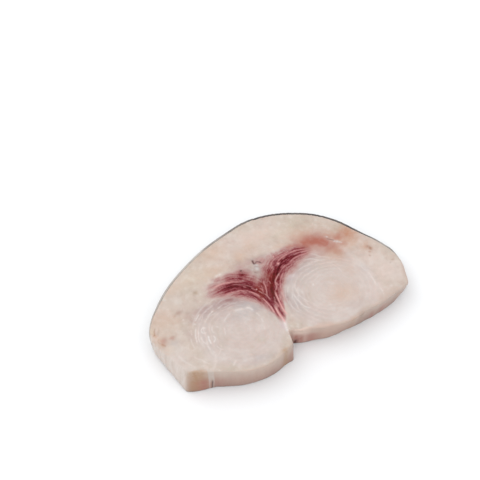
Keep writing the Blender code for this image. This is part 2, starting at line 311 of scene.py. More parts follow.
paleStrokes = [
    # arcs of the right lobe, and the thin wall of tissue at its right end
    (0.5, 0.7, [(11.6, -12), (11.3, -15.9), (12.3, -21.1), (13.8, -25.3), (17.2, -28.6)]),
    (0.4, 0.4, [(8, -6.7), (5.4, -13), (5.2, -17.6), (6, -22.3), (7.4, -26.3), (10, -29.8)]),
    (0.4, 0.45, [(17, -4.5), (14.6, -9), (14.4, -15), (15.8, -20), (19, -25)]),
    (0.45, 0.5, [(18, 7.4), (27.4, 8.9), (35, 8.4), (41.9, 3.6)]),
    (0.4, 0.45, [(29, 13.2), (36.7, 12.6), (42.6, 7.6), (49, 3.6)]),
    (0.35, 0.35, [(47, -1), (49.4, -6.2), (50.4, -12)]),
    (0.35, 0.35, [(22, 2.6), (29, 4.4), (36, 3.2)]),
    (0.6, 0.7, [(26, -12.6), (27.6, -11.4)]),
    (2.6, 0.3, [(57, 15), (60.5, 7), (62.5, 0.4), (65.4, -8), (66.8, -13.6), (67.3, -22.9), (67.8, -30.5)]),
    (0.6, 0.45, [(64.8, -10.7), (65.3, -13), (65.7, -15.2)]),
    (0.6, 0.6, [(67.6, -16.4), (67.4, -23.8), (67.4, -30)]),
    (0.5, 0.5, [(68.6, -32), (68.2, -38), (64.6, -44.6)]),
    (0.4, 0.5, [(60.4, 5), (61.2, 3)]),
    (0.4, 0.5, [(63, -2.4), (63.6, -5)]),
    # inner arc of the left lobe, in separate pieces
    (0.6, 0.4, [(-41.7, -14.3), (-38, -11.4), (-34.2, -9.4)]),
    (0.8, 0.5, [(-31.5, -9.2), (-28.2, -9.5), (-25.5, -9.9)]),
    (0.8, 0.65, [(-23.5, -10.2), (-21.9, -10.6), (-20.4, -12.2), (-19.7, -14.2)]),
    (0.6, 0.5, [(-18.6, -16.4), (-18.1, -18), (-17.5, -20)]),
    (0.5, 0.5, [(-17.3, -21.9), (-17.4, -24), (-17.6, -25.7)]),
    (0.45, 0.4, [(-18.2, -28), (-19.2, -30.8)]),
    # short flecks of its outer side
    (0.5, 0.85, [(-60.2, -10.5), (-62.9, -15.8), (-64.2, -21.7)]),
    (0.4, 0.75, [(-59.4, -13.1), (-62, -18.4), (-62.4, -23)]),
    (0.4, 0.85, [(-54.2, -13.4), (-56.4, -12.6), (-58.2, -14.4), (-57.4, -16.6), (-55.2, -16.8)]),
    (0.6, 1.0, [(-55.3, -19.3), (-56.1, -23.3), (-55.8, -26.6)]),
    (0.4, 0.85, [(-52.2, -20.7), (-52.2, -23.9), (-54.6, -26.1)]),
    (0.4, 0.6, [(-60, -18), (-60.2, -22), (-59, -25)]),
    (0.4, 0.6, [(-50, -14), (-51.4, -17), (-51, -19.4)]),
    (0.4, 0.5, [(-53.6, -28.4), (-52.4, -31.6), (-50, -34)]),
    # arcs that lead on from the red muscle's left end
    (0.6, 0.35, [(-62.6, -10), (-58.5, -4), (-51.6, 1.4), (-46, 4)]),
    (0.5, 0.3, [(-44.6, 3.6), (-40, 5.2), (-34, 5.8)]),
    (0.6, 0.35, [(-57, -6.6), (-53, -3.2), (-47.8, -0.6), (-42, 1.4)]),
    (0.5, 0.3, [(-39.6, 1), (-35, 2.2), (-29, 1.8)]),
    (0.5, 0.3, [(-53.6, -10), (-50.6, -7), (-45.6, -4)]),
    (0.5, 0.3, [(-42, -3), (-37, -1.6), (-31, -1.2)]),
    (0.4, 0.6, [(-47.8, -15.2), (-46.3, -16.9)]),
    (0.35, 0.5, [(-42.9, -17.9), (-44.8, -24.1)]),
    (0.4, 0.6, [(-58.8, -26.3), (-58.6, -30.1)]),
    (0.5, 0.7, [(-59, -5.7), (-56.4, -3.4), (-53.8, -1.4)]),
    (0.7, 0.8, [(-60.2, -7.9), (-59.4, -7.1)]),
    (0.6, 0.7, [(-46.2, -4), (-44.6, -3)]),
    (0.6, 0.6, [(-66, -1.4), (-64.8, -0.8)]),
    (0.4, 0.5, [(-63.9, -10.5), (-65.2, -14.7)]),
    (0.4, 0.45, [(-66.6, -16), (-67.4, -21), (-67.2, -25)]),
    (0.35, 0.4, [(-50.2, -29.5), (-52.8, -33.5), (-56.4, -36.5)]),
    (0.4, 0.4, [(-67.3, -33), (-65.4, -36.4), (-62.6, -39.8)]),
    (0.4, 0.35, [(-71.1, -29.1), (-68.6, -32.4), (-65.4, -34.9)]),
    (0.35, 0.4, [(-52.6, -8.4), (-48.4, -6.2), (-43.4, -5.4)]),
    (0.35, 0.35, [(-38, -4.2), (-32, -3.2), (-26.4, -4)]),
    (1.2, 0.35, [(-57, -30), (-57.5, -36), (-60, -41.5), (-64, -45)]),
    (0.7, 0.5, [(-50, -47), (-46, -44)]),
    # veins of the left end
    (0.8, 0.4, [(-85, -22), (-83, -28), (-79.5, -36)]),
    (0.6, 0.35, [(-80, -24), (-77, -31), (-73, -37)]),
    # a painted highlight beside the orange streak, then the foot of the stem and the fat
    (0.5, 0.5, [(54.6, 21.4), (55.6, 19.8)]),
    (1.1, 0.9, [(-4, -29.4), (-4.5, -33), (-5.3, -38)]),
    (0.5, 0.9, [(-4.5, 18), (-2.8, 19.5), (-1.2, 22)]),
    (0.9, 0.6, [(-32, 21.5), (-27, 22)]),
]
crackStrokes = [
    (0.7, 1.0, [(-2.4, 23.9), (-2.7, 21.8), (-2.5, 19.6)]),
    (0.55, 0.8, [(-2.2, 19.8), (-0.9, 21.2), (0.8, 21), (2.6, 18.8)]),
    (0.9, 0.9, [(-13.6, 19.6), (-13.1, 18.3)]),
    (0.4, 0.4, [(-13.2, 18.4), (-12.8, 15.8)]),
    (0.5, 0.3, [(-5.8, 14), (-4.2, 12.6)]),
    (0.4, 0.6, [(53.6, 19.6), (56, 18), (58.4, 16)]),
]
# Grey fat where the seam forks, and painted glints (highlights) there and beyond the right arm
fatPatches = [(-4.8, 13, 3.4, 4.4, 0.9), (-3.4, 16, 3.6, 3.2, 1.0), (-7.5, 17.5, 3.5, 3, 0.7)]
fatGlints = [
    (-3.2, 15.4, 1.6, 1.3, 0.75), (-2.2, 17.8, 1.3, 0.8, 0.8), (-6.2, 16.4, 1.4, 1.0, 0.4),
    (58.2, 15.8, 0.9, 0.9, 0.8), (59.3, 14.5, 1.0, 1.0, 1.0), (60.5, 13.2, 0.9, 0.9, 0.9),
    (61.7, 12.1, 0.7, 0.7, 0.7), (54.8, 20.7, 0.8, 0.8, 0.8),
]

# Soft patches of tint: (x, y, reach along x, reach along y, strength)
tintPatches = {
    "shell": [
        (8, 42, 16, 7, 0.8), (76, -8, 10, 8, 0.6), (79, -22, 9, 10, 1.0), (68, -32, 8, 7, 0.7),
        (-74, -22, 6, 7, 0.3), (-28, 34, 8, 4, 0.3),
    ],
    "peach": [
        (-24, 40, 11, 6, 0.8), (1, 36, 6, 8, 0.6), (-9, 30, 6, 5, 0.9), (-66, 25, 8, 5, 0.5),
        (65, 11, 9, 6, 0.9), (42, -26, 11, 8, 0.9), (-78, 4, 11, 9, 0.6), (-70, 3, 6, 5, 0.5),
        (-84, -20, 3, 5, 0.4), (-87, -8, 4, 5, 0.8), (38, 30, 12, 5, 0.8), (20, 27, 8, 3, 0.5),
        (58, -10, 7, 12, 0.4), (52, 4, 8, 8, 0.7), (77, 4, 6, 6, 0.5), (-32, 26, 12, 6, 0.6),
        (12, 41, 8, 5, 0.35),
    ],
    "salmon": [
        (57, 11, 5, 5, 0.5), (62, 18, 6, 4, 0.6), (62, 11, 5, 3.4, 0.5), (56, 7, 5, 4, 0.4),
        (-83.6, -10.7, 3, 3, 0.4), (-77.3, -10.1, 2.6, 1.6, 0.4),
    ],
    "orange": [
        (70, 19, 7, 7, 1.0), (64, 18, 6, 4, 0.8), (58, 22, 6, 4, 0.5), (56, 8, 7, 6, 0.5),
        (-88.4, -4.2, 2, 1.6, 0.4), (-85.4, -13.4, 2.4, 1.8, 0.4), (76, 3, 4, 4, 0.4),
    ],
    "olive": [
        (66, 26, 4, 3, 0.7), (-49.5, 15, 1.6, 2, 0.9), (-55, 18, 9, 7, 0.4), (-68, 5, 3, 2, 0.5),
        (-82, 3, 5, 5, 0.3), (15, 36, 14, 8, 0.2), (44, 36, 10, 7, 0.4), (-8, -25, 2.5, 4, 0.3),
    ],
    "mauve": [
        (-50, -1, 11, 5, 0.9), (-36, -1, 10, 5, 1.0), (-26, -3.4, 9, 3.6, 0.9), (3, 22.5, 5, 3, 1.0),
        (-30, 0.6, 10, 3.6, 1.3), (-58, -5, 6, 4, 0.5), (-42, -9, 8, 4, 0.3), (5, -12, 2.5, 9, 0.9),
        (12, 1, 5, 5, 0.7), (62, 2, 4, 4, 0.4), (-66, 5, 4, 2, 0.5), (22, 4.5, 10, 3.4, 0.7),
        (38, 8.4, 10, 3.4, 0.5), (-66, -14, 3, 7, 0.35),
    ],
    "cool": [
        (-20, -7, 9, 4, 1.0), (-18, -12, 5, 6, 1.0), (11, 0, 5, 6, 0.9), (10, -20, 5, 10, 0.6),
        (-30, -50, 8, 3, 0.6), (-79, -16, 4, 3, 0.7), (66, -13, 4, 4, 0.4), (20, -6, 8, 5, 0.3),
        (45, -38, 6, 4, 0.2), (-29, -14, 10, 5, 0.6),
    ],
    "wine": [
        (-29.5, 1, 10, 4, 1.1), (4.4, -13, 1.8, 6, 0.5), (-19, -2.4, 5, 2.6, 1.0),
        (-13.6, -7, 3, 3, 0.7), (-12, -13, 3, 4, 0.6), (-9.6, -19, 2.4, 5, 0.4), (-38, 4, 7, 3.4, 0.5),
        (26, 21.4, 8, 2.4, 0.4), (18, 6.4, 7, 2.2, 0.8), (31, 10, 7, 2.2, 0.6), (9, 0, 2.4, 4, 0.5),
        (28, 8, 7, 2.6, 0.6), (20, 4.4, 4, 2, 0.4), (-12, 23, 7, 4.4, 0.5), (-5.4, 23.4, 6, 4, 0.5),
        (0, 22, 4, 3.4, 0.35),
    ],
    "milk": [
        (-80, -25, 8, 10, 1.0), (-78, -36, 7, 6, 0.8), (-70, -32, 6, 8, 0.4), (30, -24, 12, 10, 0.4),
        (-66, 12, 7, 6, 0.3), (60, -22, 7, 12, 0.3), (-12, 39, 7, 5, 0.3),
        (-61, -33, 5, 7, 0.6), (85, -28, 5, 6, 0.5),
    ],
    "lilac": [(15, 1.4, 5, 2.2, 0.8), (-5.5, -33, 1.8, 5, 0.9), (38, 11.6, 6, 2.6, 0.5)],
    "cream": [
        (-88.4, -0.6, 1.8, 3.6, 0.8), (-82, -18, 3, 3, 0.3), (-48, 27, 14, 6, 0.4), (28, 37, 12, 6, 0.3),
    ],
}
# The salmon streak beyond the right arm, broad and soft
streakStrokes = [
    (9.0, 0.72, [(29, 20), (36.4, 22), (42, 21.4), (46.4, 19.8), (50.4, 17), (53.4, 12.6), (55.4, 7)]),
    (6.6, 1.04, [(34, 21.6), (38.8, 22.4), (43.8, 21.6), (47.8, 20), (51, 17), (53.6, 12.8)]),
    (3.0, 0.6, [(23, 22.6), (30, 23.4), (36, 23.4)]),
]
# Soft patches of tint on the walls, some of them painted light and painted shade
wallPatches = {
    # painted light on front and end walls that lie in shade
    "paintedWallLight": [(22, -44, 16, 7, 0.8), (36, -48, 8, 6, 0.6), (95, -20, 6, 12, 0.4), (-40, -54, 16, 5, 0.3)],
    # painted light in the notch, where the wall lies in shade
    "paintedNotchLight": [(2, -39, 9, 3.6, 1.1), (-2.4, -35.5, 2.5, 3, 1.2)],
    "amber": [
        (-75, -43, 8, 6, 1.1), (-80, -38, 4, 5, 0.8), (-13.5, -49.8, 2.8, 2.4, 0.9), (40, -48.4, 2, 2, 0.5),
    ],
    "rosy": [
        (-70.5, -44.5, 5, 4, 0.9), (-60, -46, 8, 4, 0.3), (2, -40, 5, 4, 1.2), (10, -43, 6, 4, 0.8),
        (-8, -48, 1.6, 2, 0.3), (57, -45, 1.8, 2, 0.6), (66, -43.5, 2, 2, 0.6), (87, -32, 2.4, 2, 0.5),
    ],
    "blood": [(-1.6, -37.2, 1.3, 1.4, 1.2), (0.4, -38.8, 1.6, 1.2, 1.0)],
    "tan": [(47, -47, 2.4, 3, 0.9)],
    # painted shade on the bevel of the right front and end, and beside the notch
    "paintedWallShade": [
        (50, -46, 10, 8, 0.35), (74, -40, 14, 8, 0.25), (90, -28, 6, 12, 0.3), (-5.6, -46.5, 2, 2.4, 0.8),
    ],
}
# How level a face is where the wall's colour begins to fade and where it ends, and how far the
# patches of painted shade shift both
wallFinish = {"level": (0.3, 0.84), "paintedShadeShift": 0.13}
# The left side is painted lighter than the face, as painted light, so that it shows as pale as the
# face: where it begins and is full along x and across y, how far past the square corner and in which
# direction, and how level its faces are
flankFinish = {"along": (-70, -77), "across": (16, 6), "corner": (-79, -39), "past": (-3.0, 3.5),
               "direction": (-0.38, 0.93), "level": (1.0, 0.25)}
# How strongly and over what span of unevenness the wall's colour spreads on the face as painted
# shade of a rounding edge, and how far in from the edge: (x, y, reach along x, reach along y, distance)
rimFinish = {"share": 0.85, "span": 6, "fade": (1.0, 0.25), "unevenness": 0.5}
rimPatches = [
    (-13, -47, 9, 8, 5.5), (-40, -55, 24, 7, 2.5), (-72, -43, 10, 7, 5.0), (20, -43, 18, 7, 4.5),
    (50, -46, 14, 8, 6.0), (74, -38, 14, 9, 8.0), (90, -28, 6, 9, 6.0),
]
# How far the edges of the patches stray, broadly and finely, as (distance, span), and how much
# of that the red muscle takes
strayFinish = {"broad": (1.4, 6), "fine": (0.5, 2), "redShare": 0.3}
# Where the rings of flakes show on the cut face, and how faintly they show elsewhere
ringFaintest = 0.06
ringPatches = [
    (-60, -16, 9, 16, 1.0), (-48, -2, 15, 8, 0.9), (-30, -4, 12, 5, 0.5), (-15, -15, 5, 9, 0.3),
    (10, -18, 9, 15, 1.0), (18, -34, 9, 7, 0.5), (30, 2, 20, 8, 1.0), (52, -2, 10, 7, 0.5),
    (64, -18, 6, 14, 0.3), (32, -14, 12, 10, 0.12), (-38, -44, 12, 7, 0.2), (-30, -22, 14, 12, 0.1),
]
speckPatches = [
    (79.5, 0.5, 1.6, 1.6, 0.9), (78, 2.5, 1.2, 1.2, 0.6), (77, -2, 1.2, 1.0, 0.5),
    (75, -5, 0.8, 1.0, 0.5), (88, -15, 1.2, 0.9, 0.5), (86, -17, 0.8, 0.8, 0.4),
    (-49.5, 15, 1.4, 1.6, 0.4), (-66, 5, 2.4, 0.8, 0.3), (-70, 4.4, 1.2, 0.6, 0.2),
    (-90, -8, 0.8, 1.6, 0.3),
]
speckStrokes = [
    (0.45, 0.6, [(-84.9, 0.9), (-86.8, -1.6), (-87.5, -4), (-89.3, -5)]),
    (0.7, 0.9, [(-88, -3.6), (-87.4, -4.6)]),
    (0.4, 0.35, [(-82.3, 0.4), (-84.4, -3), (-85.7, -5.8)]),
    (0.55, 0.5, [(-86, -12.3), (-84.9, -13.9), (-83.7, -15.4)]),
    (0.6, 0.4, [(-89, -14.2), (-88.2, -15)]),
    (0.35, 0.35, [(-86, -8), (-87.4, -9.6), (-86.6, -12)]),
]


def smoothStep(low, high, value):
    share = np.clip((value - low) / (high - low), 0, 1)
    return share * share * (3 - 2 * share)


def inRegion(region, x, y):
    alongX, alongY = region
    return smoothStep(*alongX, x) * smoothStep(*alongY, y)


def waveField(x, y, span, seed):
    # slow random rise and fall between about -1 and 1
    return np.array([noise.noise(Vector((a / span, b / span, seed))) for a, b in zip(x, y)])


def thicknessAt(x):
    share = x / sliceValues["halfLength"]
    return sliceValues["thickness"] - sliceValues["wedge"] * share - sliceValues["endDrop"] * share**2


def slowRelief(x, y):
    return reliefValues["unevenHeight"] * waveField(x, y, reliefValues["unevenSpan"], seed=24)


def lobeReach(x, y, lobe):
    centreX, centreY, radiusX, radiusY = lobe
    return np.hypot((x - centreX) / radiusX, (y - centreY) / radiusY)


def ringReach(x, y, lobe):
    # distance from the middle of the lobe that its rings follow, with a little wander
    wander = waveField(x, y, reliefValues["ringWanderSpan"], seed=14)
    return lobeReach(x, y, lobe) * lobe[3] + reliefValues["ringWander"] * wander


def smoothRun(points, step=0.3):
    # points along a Catmull-Rom curve through the given ones, every step or so, with
    # whatever numbers follow x and y eased along with them
    known = np.array(points, float)
    padded = np.vstack([2 * known[0] - known[1], known, 2 * known[-1] - known[-2]])
    run = []
    for a, b, c, d in zip(padded, padded[1:], padded[2:], padded[3:]):
        count = max(2, int(np.hypot(*(c - b)[:2]) / step))
        for t in np.arange(count) / count:
            run.append(0.5 * (2 * b + (c - a) * t + (2 * a - 5 * b + 4 * c - d) * t**2
                              + (3 * b - a - 3 * c + d) * t**3))
    run.append(known[-1])
    return np.array(run)


def nearestOnRun(x, y, run):
    # for each place: the nearest point's number, distance, signed distance and way along
    steps = np.diff(run[:, :2], axis=0)
    headings = np.vstack([steps, steps[-1:]])
    headings /= np.hypot(headings[:, 0], headings[:, 1])[:, None]
    along = np.concatenate([[0], np.cumsum(np.hypot(steps[:, 0], steps[:, 1]))])
    nearest = np.zeros(len(x), int)
    best = np.full(len(x), 1e9)
    for number, (runX, runY) in enumerate(run[:, :2]):
        away = (x - runX)**2 + (y - runY)**2
        closer = away < best
        best[closer] = away[closer]
        nearest[closer] = number
    offX = x - run[nearest, 0]
    offY = y - run[nearest, 1]
    heading = headings[nearest]
    side = heading[:, 0] * offY - heading[:, 1] * offX
    onward = along[nearest] + heading[:, 0] * offX + heading[:, 1] * offY
    return nearest, np.sqrt(best), side, onward


def strokeField(x, y, strokes):
    field = np.zeros(len(x))
    for halfWidth, strength, points in strokes:
        run = smoothRun(points)
        margin = 4 * halfWidth      # nothing of the stroke shows beyond this
        low = run.min(0) - margin
        high = run.max(0) + margin
        near = np.flatnonzero((x > low[0]) & (x < high[0]) & (y > low[1]) & (y < high[1]))
        if not len(near):
            continue
        nearest, away = nearestOnRun(x[near], y[near], run)[:2]
        share = nearest / max(1, len(run) - 1)
        taper = smoothStep(0, strokeTaper, share) * smoothStep(1, 1 - strokeTaper, share)
        taper = strokeEnd + (1 - strokeEnd) * taper
        field[near] = np.maximum(field[near], strength * taper * np.exp(-(away / halfWidth)**2))
    return field


def patchField(x, y, patches):
    field = np.zeros(len(x))
    for centreX, centreY, reachX, reachY, strength in patches:
        away = ((x - centreX) / reachX)**2 + ((y - centreY) / reachY)**2
        field = np.maximum(field, strength * np.exp(-away))
    return field


bundleValues = {
    "lobeFray": 0.04,           # shares of the reach by which the edges stray
    "outerFray": 0.2,
    "fade": (0.05, 1.2),        # shares of the reach over which the red fades
    "apart": (40, 90),          # keeps the two bundles' noise from matching
}


def bundleField(x, y, bundle, lobeOnLeft):
    # strength of the red muscle at each place, the share of its reach, and the fibres' own
    # across and along. Its edge is even towards the lobe and frayed on the other side.
    run = smoothRun(bundle)
    nearest, away, side, onward = nearestOnRun(x, y, run)
    reach = np.where(side > 0, run[nearest, 2], run[nearest, 3])
    past = np.sqrt(np.maximum(away**2 - side**2, 0))
    share = np.hypot(side, past) / reach
    # long wisps with shorter, fainter ones
    wisps = waveField(onward * 0.3, side * 0.12, 1.0, seed=3.3)
    wisps += 0.5 * waveField(onward * 0.8, side * 0.2, 1.0, seed=6.1)
    onLobe = (side > 0) == lobeOnLeft
    fray = np.where(onLobe, bundleValues["lobeFray"], bundleValues["outerFray"]) * wisps
    strength = np.clip(run[nearest, 4], 0, 1) * (1 - smoothStep(*bundleValues["fade"], share + fray))
    return strength, share, side, onward


def redMuscleField(x, y):
    left = bundleField(x, y, leftBundle, True)
    right = bundleField(x, y, rightBundle, False)
    leftNearer = left[1] < right[1]
    strength = np.maximum(np.maximum(left[0], right[0]), patchField(x, y, redPatches))
    across = np.where(leftNearer, left[2], right[2] + bundleValues["apart"][0])
    along = np.where(leftNearer, left[3], right[3] + bundleValues["apart"][1])
    return strength, across, along


def deselectAll():
    bpy.ops.object.select_all(action="DESELECT")


def makeActive(piece):
    deselectAll()
    piece.select_set(True)
    bpy.context.view_layer.objects.active = piece


def placesOf(piece):
    places = np.empty(len(piece.data.vertices) * 3)
    piece.data.vertices.foreach_get("co", places)
    return places.reshape(-1, 3) / mm


def normalsOf(piece):
    normals = np.empty(len(piece.data.vertices) * 3, np.float32)
    piece.data.vertices.foreach_get("normal", normals)
    return normals.reshape(-1, 3).astype(float)


def movePlaces(piece, places):
    piece.data.vertices.foreach_set("co", (places * mm).ravel())
    piece.data.update()


def storeField(piece, name, values):
    attribute = piece.data.attributes.new(name, "FLOAT", "POINT")
    attribute.data.foreach_set("value", np.asarray(values, np.float32))


def outlinePlaces(drawnIn=0):
    # the outline's points in millimetres, with those under the skin drawn in
    shares = np.array([point[:2] for point in sliceValues["outline"]])
    places = shares * (sliceValues["halfLength"], sliceValues["halfWidth"])
    headings = np.roll(places, -1, axis=0) - np.roll(places, 1, axis=0)
    inwards = np.stack([-headings[:, 1], headings[:, 0]], -1) / np.hypot(*headings.T)[:, None]
    first, last = skinValues["outlineRun"]
    places[first + 1:last] += drawnIn * inwards[first + 1:last]
    return places + sliceValues["place"]


def addOutlineCurve(name, drawnIn=0):
    # a closed flat Bezier curve through the outline's points, in metres
    deselectAll()
    bpy.ops.curve.primitive_bezier_curve_add(radius=1)
    curve = bpy.context.object
    curve.name = name
    curve.data.dimensions = "2D"
    curve.data.resolution_u = sliceValues["curveSteps"]
    curve.data.splines.clear()
    spline = curve.data.splines.new("BEZIER")
    places = outlinePlaces(drawnIn)
    spline.bezier_points.add(len(places) - 1)
    spline.use_cyclic_u = True
    for point, (x, y), known in zip(spline.bezier_points, places, sliceValues["outline"]):
        point.co = (x * mm, y * mm, 0)
        kind = "VECTOR" if known[2] else "AUTO"
        point.handle_left_type = kind
        point.handle_right_type = kind
    return curve


def fromEdge(x, y):
    # distance of each place from the outline
    places = outlinePlaces()
    around = smoothRun(np.vstack([places, places[:1]]), 1.0)
    return nearestOnRun(x, y, around)[1]


def swell(span, x):
    # full at the middle of a span, fading on both sides
    middle, reach = span
    return np.exp(-((x - middle) / reach)**2)


def wallLean(x, y):
    # sideways move of the foot of the wall
    values = sliceValues
    front = smoothStep(*values["frontSide"], y)
    moveX = values["tipTuck"] * inRegion(values["leftTip"], x, y)
    moveX -= values["cornerFlare"][0] * inRegion(values["cornerAlongX"], x, y)
    moveX -= values["endTuck"] * smoothStep(*values["rightEnd"], x)
    moveY = values["frontTuck"] * inRegion(values["rightFront"], x, y)
    moveY -= values["cornerFlare"][1] * inRegion(values["cornerAlongY"], x, y)
    moveY += values["leftLobeTuck"] * swell(values["leftLobeSpan"], x) * front
    moveY += values["rightLobeTuck"] * swell(values["rightLobeSpan"], x) * front
    moveY -= values["stepFlare"] * swell(values["stepSpan"], x) * smoothStep(*values["stepSide"], y)
    return moveX, moveY


def softEdgeWeight(x, y):
    # how much the edge at this place is softened
    values = sliceValues
    cutSide = smoothStep(*values["softCutSide"], y)
    weight = values["softSkinEdge"] + (values["softCutEdge"] - values["softSkinEdge"]) * cutSide
    front = inRegion(values["softFront"], x, y)
    right = smoothStep(*values["softRight"], x)
    left = inRegion(values["softLeft"], x, y)
    return np.maximum(weight, np.maximum(front, np.maximum(right, left)))


def roundEndWeight(x, y, share):
    # how much the two ends, and the upper edge beside the notch, are rounded
    values = sliceValues
    alongX, fromCorner, toSkin = values["roundLeft"]
    left = smoothStep(*alongX, x) * smoothStep(*fromCorner, y) * smoothStep(*toSkin, y)
    right = values["roundRightShare"] * smoothStep(*values["roundRight"], x)
    span, towardsFront, upwards = values["roundNotch"]
    notch = swell(span, x) * smoothStep(*towardsFront, y) * smoothStep(*upwards, share)
    return np.maximum(np.maximum(left, notch), right)


def faceRelief(x, y):
    values = reliefValues
    relief = slowRelief(x, y)
    relief += values["fineUneven"] * waveField(x, y, values["fineSpan"], seed=3.1)
    for lobe, spacing in zip((leftLobe, rightLobe), values["ringSpacing"]):
        reach = lobeReach(x, y, lobe)
        phase = 2 * math.pi * ringReach(x, y, lobe) / spacing
        fade = 1 - smoothStep(*values["ringFade"], reach)
        relief += values["lobeCrown"] * np.maximum(0, 1 - reach**2)
        relief += values["ringDepth"] * np.cos(phase) * fade
    (startX, startY), (endX, endY) = values["seamStart"], values["seamEnd"]
    along = np.clip((y - startY) / (endY - startY), 0, 1)
    away = np.hypot(x - startX - (endX - startX) * along, np.maximum(0, y - endY))
    relief -= values["seamDepth"] * np.exp(-(away / (values["seamWidth"] / 2))**2)
    strength, across, runAlong = redMuscleField(x, y)
    fibre = waveField(across, runAlong * values["fibreStretch"], values["fibrePitch"], seed=7.7)
    relief += strength * (values["fibreDepth"] * fibre - values["redSink"])
    relief -= values["crackDepth"] * strokeField(x, y, crackStrokes)
    relief += values["paleRise"] * strokeField(x, y, paleStrokes)
    relief += values["pinkRise"] * strokeField(x, y, pinkLineAndGlintStrokes)
    relief += values["fatRise"] * patchField(x, y, fatPatches)
    return relief


def heightAt(x, y, share):
    # height of the place that is at this share of the thickness
    height = share * thicknessAt(x)
    return height + sliceValues["tipLift"] * inRegion(sliceValues["rightTip"], x, y) * (1 - share)**2


def sculptSlice(piece):
    places = placesOf(piece)
    normals = normalsOf(piece)
    x, y, z = places.T
    values = reliefValues
    share = np.clip(z / sliceValues["thickness"], 0, 1)
    wall = 1 - smoothStep(*values["cragLevel"], np.abs(normals[:, 2]))
    crag = np.zeros(len(x))
    onWall = np.flatnonzero(wall > 0.01)
    skinSide = smoothStep(*values["cragSkinSide"], y[onWall])
    for depth, width in ((values["cragDepth"], values["cragWidth"]),
                         (values["fineCragDepth"], values["fineCragWidth"])):
        flakes = [noise.noise(Vector((a / width, b / width, c / values["cragHeight"])))
                  for a, b, c in places[onWall]]
        crag[onWall] += depth * (1 - skinSide) * np.array(flakes)
    crag *= wall
    leanX, leanY = wallLean(x, y)
    relief = np.zeros(len(x))
    upper = np.flatnonzero(share > values["start"])
    relief[upper] = faceRelief(x[upper], y[upper]) * smoothStep(values["start"], 1, share[upper])
    movePlaces(piece, np.stack([
        x + leanX * (1 - share) + normals[:, 0] * crag,
        y + leanY * (1 - share) + normals[:, 1] * crag,
        heightAt(x, y, share) + relief], -1))


def applyModifier(piece, name, kind, **settings):
    modifier = piece.modifiers.new(name, kind)
    for key, value in settings.items():
        setattr(modifier, key, value)
    makeActive(piece)
    bpy.ops.object.modifier_apply(modifier=modifier.name)


def editWhole(piece, operator, **settings):
    makeActive(piece)
    bpy.ops.object.mode_set(mode="EDIT")
    bpy.ops.mesh.select_all(action="SELECT")
    operator(**settings)
    bpy.ops.object.mode_set(mode="OBJECT")


def weighVertices(piece, name, weights):
    group = piece.vertex_groups.new(name=name)
    for number, weight in enumerate(weights):
        group.add([number], float(weight), "REPLACE")


def buildSlice():
    curve = addOutlineCurve("freshSlice", skinValues["thickness"] - skinValues["bedded"])
    curve.data.fill_mode = "BOTH"
    curve.data.extrude = curve.location.z = sliceValues["thickness"] * mm / 2
    makeActive(curve)
    bpy.ops.object.convert(target="MESH")
    bpy.ops.object.transform_apply(location=True, rotation=True, scale=True)
    piece = bpy.context.object
    values = sliceValues
    editWhole(piece, bpy.ops.mesh.remove_doubles, threshold=values["weld"] * mm)
    editWhole(piece, bpy.ops.mesh.normals_make_consistent, inside=False)
    applyModifier(piece, "Even faces", "REMESH", mode="VOXEL", voxel_size=values["voxel"] * mm)
    sculptSlice(piece)
    places = placesOf(piece)
    x, y = places[:, 0], places[:, 1]
    edgeDistance = fromEdge(x, y)
    inside = smoothStep(*values["softBand"], edgeDistance)
    weights = softEdgeWeight(x, y)
    weighVertices(piece, "softEdges", weights + (values["softFace"] - weights) * inside)
    applyModifier(piece, "Soft edges", "SMOOTH", factor=values["smoothing"],
                  iterations=values["softRounds"], vertex_group="softEdges")
    outside = 1 - smoothStep(*values["roundBand"], edgeDistance)
    share = places[:, 2] / thicknessAt(x)
    weighVertices(piece, "roundEnds", roundEndWeight(x, y, share) * outside)
    applyModifier(piece, "Round ends", "SMOOTH", factor=values["smoothing"],
                  iterations=values["roundRounds"], vertex_group="roundEnds")
    # thinned where little shows: the underside and the walls below their upper edge
    height = placesOf(piece)[:, 2] / thicknessAt(x)
    weighVertices(piece, "thin", 1 - values["thinSpared"] * smoothStep(*values["thinBelow"], height))
    ratio = values["triangles"] / (2 * len(piece.data.polygons))
    applyModifier(piece, "Thinned", "DECIMATE", ratio=ratio, vertex_group="thin", vertex_group_factor=1)
    piece.vertex_groups.clear()
    piece.data.shade_smooth()
    return piece


